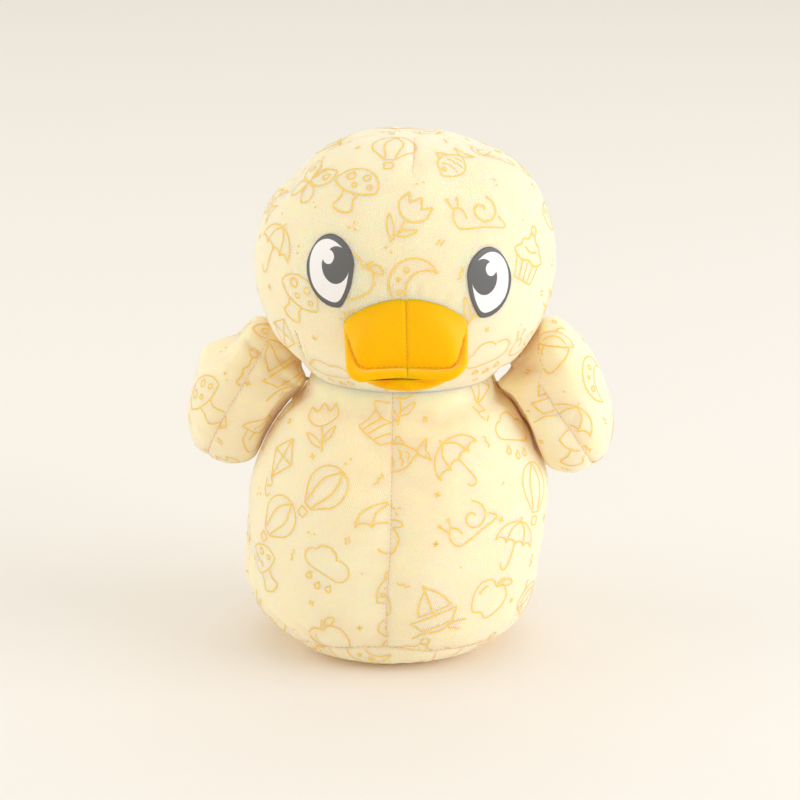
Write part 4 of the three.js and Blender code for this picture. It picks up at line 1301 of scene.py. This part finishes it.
ink_lift = 0.08 * mm
ink_sink = 0.15 * mm
ink_step = 1.1 * mm
drawing_size = 1.08
drawings_apart = 32 * mm
fillers_apart = 19 * mm
past_seam = 12 * mm
tries = 1800
near_floor = 0.5 * mm
overhead = 15 * mm
upward = Vector((0, 0, 1))


def printed_on(name, cover, body, seed):
    # Lays the drawings over every panel of a cover, each cut off where its own panel ends.
    mesh = cover.data
    centre = values_of(mesh.polygons, "center", 3)
    facing = values_of(mesh.polygons, "normal", 3)
    area = values_of(mesh.polygons, "area")
    panel = values_of(mesh.attributes["panel"].data, "value", kind=int)
    surface = tree_of(mesh)
    chance = np.random.default_rng(seed)
    points, faces = [], []
    order = []
    for own in np.unique(panel):
        members = np.flatnonzero(panel == own)
        tree = KDTree(len(members))
        for i, face in enumerate(members):
            tree.insert(centre[face], i)
        tree.balance()
        taken = np.zeros((0, 3))
        for kinds, apart, past_edge in ((drawings, drawings_apart, past_seam), (fillers, fillers_apart, 0.0)):
            for face in chance.choice(len(centre), tries, p=area / area.sum()):
                if panel[face] != own and tree.find(centre[face])[2] > past_edge:
                    continue
                if len(taken) and np.linalg.norm(taken - centre[face], axis=1).min() < apart:
                    continue
                taken = np.vstack([taken, centre[face]])
                if not order:
                    order = chance.permutation(len(drawings)).tolist()
                if kinds is drawings:
                    kind, turn, size = drawings[order.pop()], chance.uniform(-0.75, 0.75), drawing_size
                else:
                    kind, turn, size = fillers[chance.integers(len(fillers))], chance.uniform(-3.1, 3.1), 1.0
                across = np.array([math.cos(turn), -math.sin(turn)])
                along = np.array([math.sin(turn), math.cos(turn)])
                normal = Vector(facing[face])
                up = (upward - normal * normal.dot(upward)).normalized()
                if up.length < 0.5:
                    up = normal.orthogonal().normalized()
                right = up.cross(normal)
                for line in kind:
                    width = chance.uniform(0.8, 1.05) * mm
                    run = []
                    for spot in evenly(line * size * mm, ink_step):
                        start = Vector(centre[face]) + right * (spot @ across) + up * (spot @ along)
                        start += normal * overhead
                        hit, slope, index, _ = surface.ray_cast(start, -normal, 2 * overhead)
                        if hit is not None and panel[index] == own and hit.z > near_floor:
                            run.append((hit, slope))
                            continue
                        ribbon(run, width, points, faces)
                        run = []
                    ribbon(run, width, points, faces)
    mesh = bpy.data.meshes.new(name)
    mesh.from_pydata(points, [], faces)
    mesh.materials.append(ink)
    made = placed(name, mesh)
    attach(made, body)


def ribbon(run, width, points, faces):
    # A flat line of ink along the cloth, its edges just above it and its keel sunk into it.
    if len(run) < 2:
        return
    base = len(points)
    for i, (place, normal) in enumerate(run):
        ahead = run[min(i + 1, len(run) - 1)][0] - run[max(i - 1, 0)][0]
        if ahead.length < 1e-7:
            ahead = run[-1][0] - run[0][0]
        side = ahead.cross(normal).normalized() * width / 2
        lift = normal * ink_lift
        points += [place + side + lift, place - side + lift, place - normal * ink_sink]
    last = base + 3 * (len(run) - 1)
    for a in range(base, last, 3):
        faces.extend([(a, a + 3, a + 4, a + 1), (a, a + 2, a + 5, a + 3), (a + 1, a + 4, a + 5, a + 2)])
    faces.extend([(base, base + 1, base + 2), (last, last + 2, last + 1)])


printed_on("body_print", body_cover, "body", 11)
printed_on("head_print", head_cover, "head", 23)
for hand, seed in (("left", 5), ("right", 8)):
    printed_on(hand + "_wing_print", wing_covers[hand], hand + "_wing", seed)


# Stitches: polyester thread. A row of topstitching runs over the base seam and round the bill, and
# the small stitches of each seam just show where the panels are drawn apart.
def spun_thread(name, colour, shade):
    material = new_material(name)
    tree = material.node_tree
    place = add_node(tree, "ShaderNodeTexCoord", {})
    plies = add_node(tree, "ShaderNodeTexNoise", {
        "Vector": place.outputs["Object"], "Scale": 2600.0, "Detail": 2.0})
    tone = add_node(tree, "ShaderNodeMix", {
        "Factor": plies.outputs["Fac"], "A": linear(colour), "B": linear(shade)}, data_type="RGBA")
    relief = add_node(tree, "ShaderNodeBump", {
        "Height": plies.outputs["Fac"], "Strength": 0.6, "Distance": 0.05 * mm})
    yarn = add_node(tree, "ShaderNodeBsdfPrincipled", {
        "Base Color": tone.outputs["Result"], "Roughness": 0.55, "Sheen Weight": 0.2,
        "Normal": relief.outputs[0]})
    add_node(tree, "ShaderNodeOutputMaterial", {"Surface": yarn.outputs[0]})
    return material


stitch_row = bpy.data.node_groups.new("row_of_stitches", "GeometryNodeTree")
stitch_row.interface.new_socket("Path", in_out="INPUT", socket_type="NodeSocketGeometry")
stitch_row.interface.new_socket("Stitches", in_out="OUTPUT", socket_type="NodeSocketGeometry")
stitch_inputs = {}
for label, kind in (("Pitch", "Float"), ("Length", "Float"), ("Thickness", "Float"), ("Thread", "Material")):
    stitch_inputs[label] = stitch_row.interface.new_socket(
        label, in_out="INPUT", socket_type="NodeSocket" + kind).identifier
given = add_node(stitch_row, "NodeGroupInput", {})
curve = add_node(stitch_row, "GeometryNodeMeshToCurve", {"Mesh": given.outputs["Path"]})
spaced = add_node(stitch_row, "GeometryNodeResampleCurve", {
    "Curve": curve.outputs[0], "Length": given.outputs["Pitch"]}, mode="LENGTH")
tangent = add_node(stitch_row, "GeometryNodeInputTangent", {})
turned = add_node(stitch_row, "FunctionNodeAlignRotationToVector", {"Vector": tangent.outputs[0]}, axis="X")
bead = add_node(stitch_row, "GeometryNodeMeshUVSphere", {"Segments": 8, "Rings": 6, "Radius": 0.5})
size = add_node(stitch_row, "ShaderNodeCombineXYZ", {
    "X": given.outputs["Length"], "Y": given.outputs["Thickness"], "Z": given.outputs["Thickness"]})
sewn = add_node(stitch_row, "GeometryNodeInstanceOnPoints", {
    "Points": spaced.outputs[0], "Instance": bead.outputs[0], "Rotation": turned.outputs[0],
    "Scale": size.outputs[0]})
real = add_node(stitch_row, "GeometryNodeRealizeInstances", {"Geometry": sewn.outputs[0]})
smooth = add_node(stitch_row, "GeometryNodeSetShadeSmooth", {"Geometry": real.outputs[0]})
threaded = add_node(stitch_row, "GeometryNodeSetMaterial", {
    "Geometry": smooth.outputs[0], "Material": given.outputs["Thread"]})
add_node(stitch_row, "NodeGroupOutput", {"Stitches": threaded.outputs[0]})


def stitches(name, lines, body, slot, thread, pitch, length, thickness):
    path = bpy.data.meshes.new(name)
    points, edges = [], []
    for line in lines:
        edges += [(len(points) + i, len(points) + i + 1) for i in range(len(line) - 1)]
        points += np.asarray(line).tolist()
    path.from_pydata(points, edges, [])
    row = placed(name, path)
    sewing = row.modifiers.new("stitches", "NODES")
    sewing.node_group = stitch_row
    for label, value in (("Pitch", pitch), ("Length", length), ("Thickness", thickness), ("Thread", thread)):
        sewing[stitch_inputs[label]] = value
    mesh = bpy.data.meshes.new_from_object(row.evaluated_get(bpy.context.evaluated_depsgraph_get()))
    row.modifiers.clear()
    row.data = mesh
    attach(row, body)


cream_thread = spun_thread("cream_polyester_thread", "#efd096", "#e0b468")
orange_thread = spun_thread("orange_polyester_thread", "#ee980c", "#d87f08")
seam_sewing = ("printed_cotton", cream_thread, 2.6 * mm, 1.5 * mm, 0.42 * mm)
base_sewing = ("printed_cotton", cream_thread, 3.2 * mm, 2.3 * mm, 0.5 * mm)
bill_top_sewing = ("bill_cotton", orange_thread, 3.0 * mm, 2.1 * mm, 0.5 * mm)
bill_seam_sewing = ("bill_cotton", orange_thread, 2.4 * mm, 1.6 * mm, 0.45 * mm)
body_lines = [body_rows[first_side_row + 3:-1, np.abs(wrapped(body_angles - seam)).argmin()]
              for seam in side_seams]
stitches("body_seam_stitches", body_lines, "body", *seam_sewing)
over_seam = int(np.abs(up_side[:, 0] - 2.2 * mm).argmin())
topstitch_line = (body_rows + outward(body_rows) * 0.12 * mm)[over_seam]
topstitch_line = np.vstack([topstitch_line, topstitch_line[:1]])
stitches("base_topstitching", [topstitch_line], "body", *base_sewing)
head_lines = []
dart_row, crown_row = np.searchsorted(head_spots, [dart_end, head_length - 9 * mm])
for seam, first_row in ((left_side, 3), (right_side, 3), (back_side, 3), (front, dart_row)):
    head_lines.append(head_rows[first_row:crown_row, np.abs(wrapped(head_angles - seam)).argmin()])
head_lines.append(seen_on(skin_tree(head_rows), *cheek_dart))
stitches("head_seam_stitches", head_lines, "head", *seam_sewing)
for hand, lines in wing_rims.items():
    stitches(hand + "_wing_seam_stitches", lines, hand + "_wing", *seam_sewing)
turn = np.linspace(0, math.pi / 2, 260)
forward = bill_root + np.cos(turn) ** (2 / tip_power) * (stitched_tip - bill_root)
half = np.sin(turn) ** (2 / side_power) * stitched_half_width(forward)
loop = np.concatenate([np.stack([-half[::-1], -forward[::-1]], 1), np.stack([half, -forward], 1)[1:]])
bill_bvh = tree_of(upper_bill.data)
down = bill_place.to_3x3() @ Vector((0, 0, -1))


def on_bill(places, lift):
    # The points of the upper bill under these places, each raised a little.
    hits = [bill_bvh.ray_cast(bill_place @ Vector((x, y, 40 * mm)), down)[0] for x, y in places]
    return [hit - down * lift for hit in hits if hit is not None]


bill_line = on_bill(loop[loop[:, 1] <= -stitched_from], 0.3 * mm)
stitches("bill_topstitching", [bill_line], "head", *bill_top_sewing)
centre_line = on_bill([(0, -reach) for reach in np.linspace(78 * mm, bill_tip - 1.5 * mm, 60)], 0)
stitches("bill_seam_stitches", [centre_line], "head", *bill_seam_sewing)
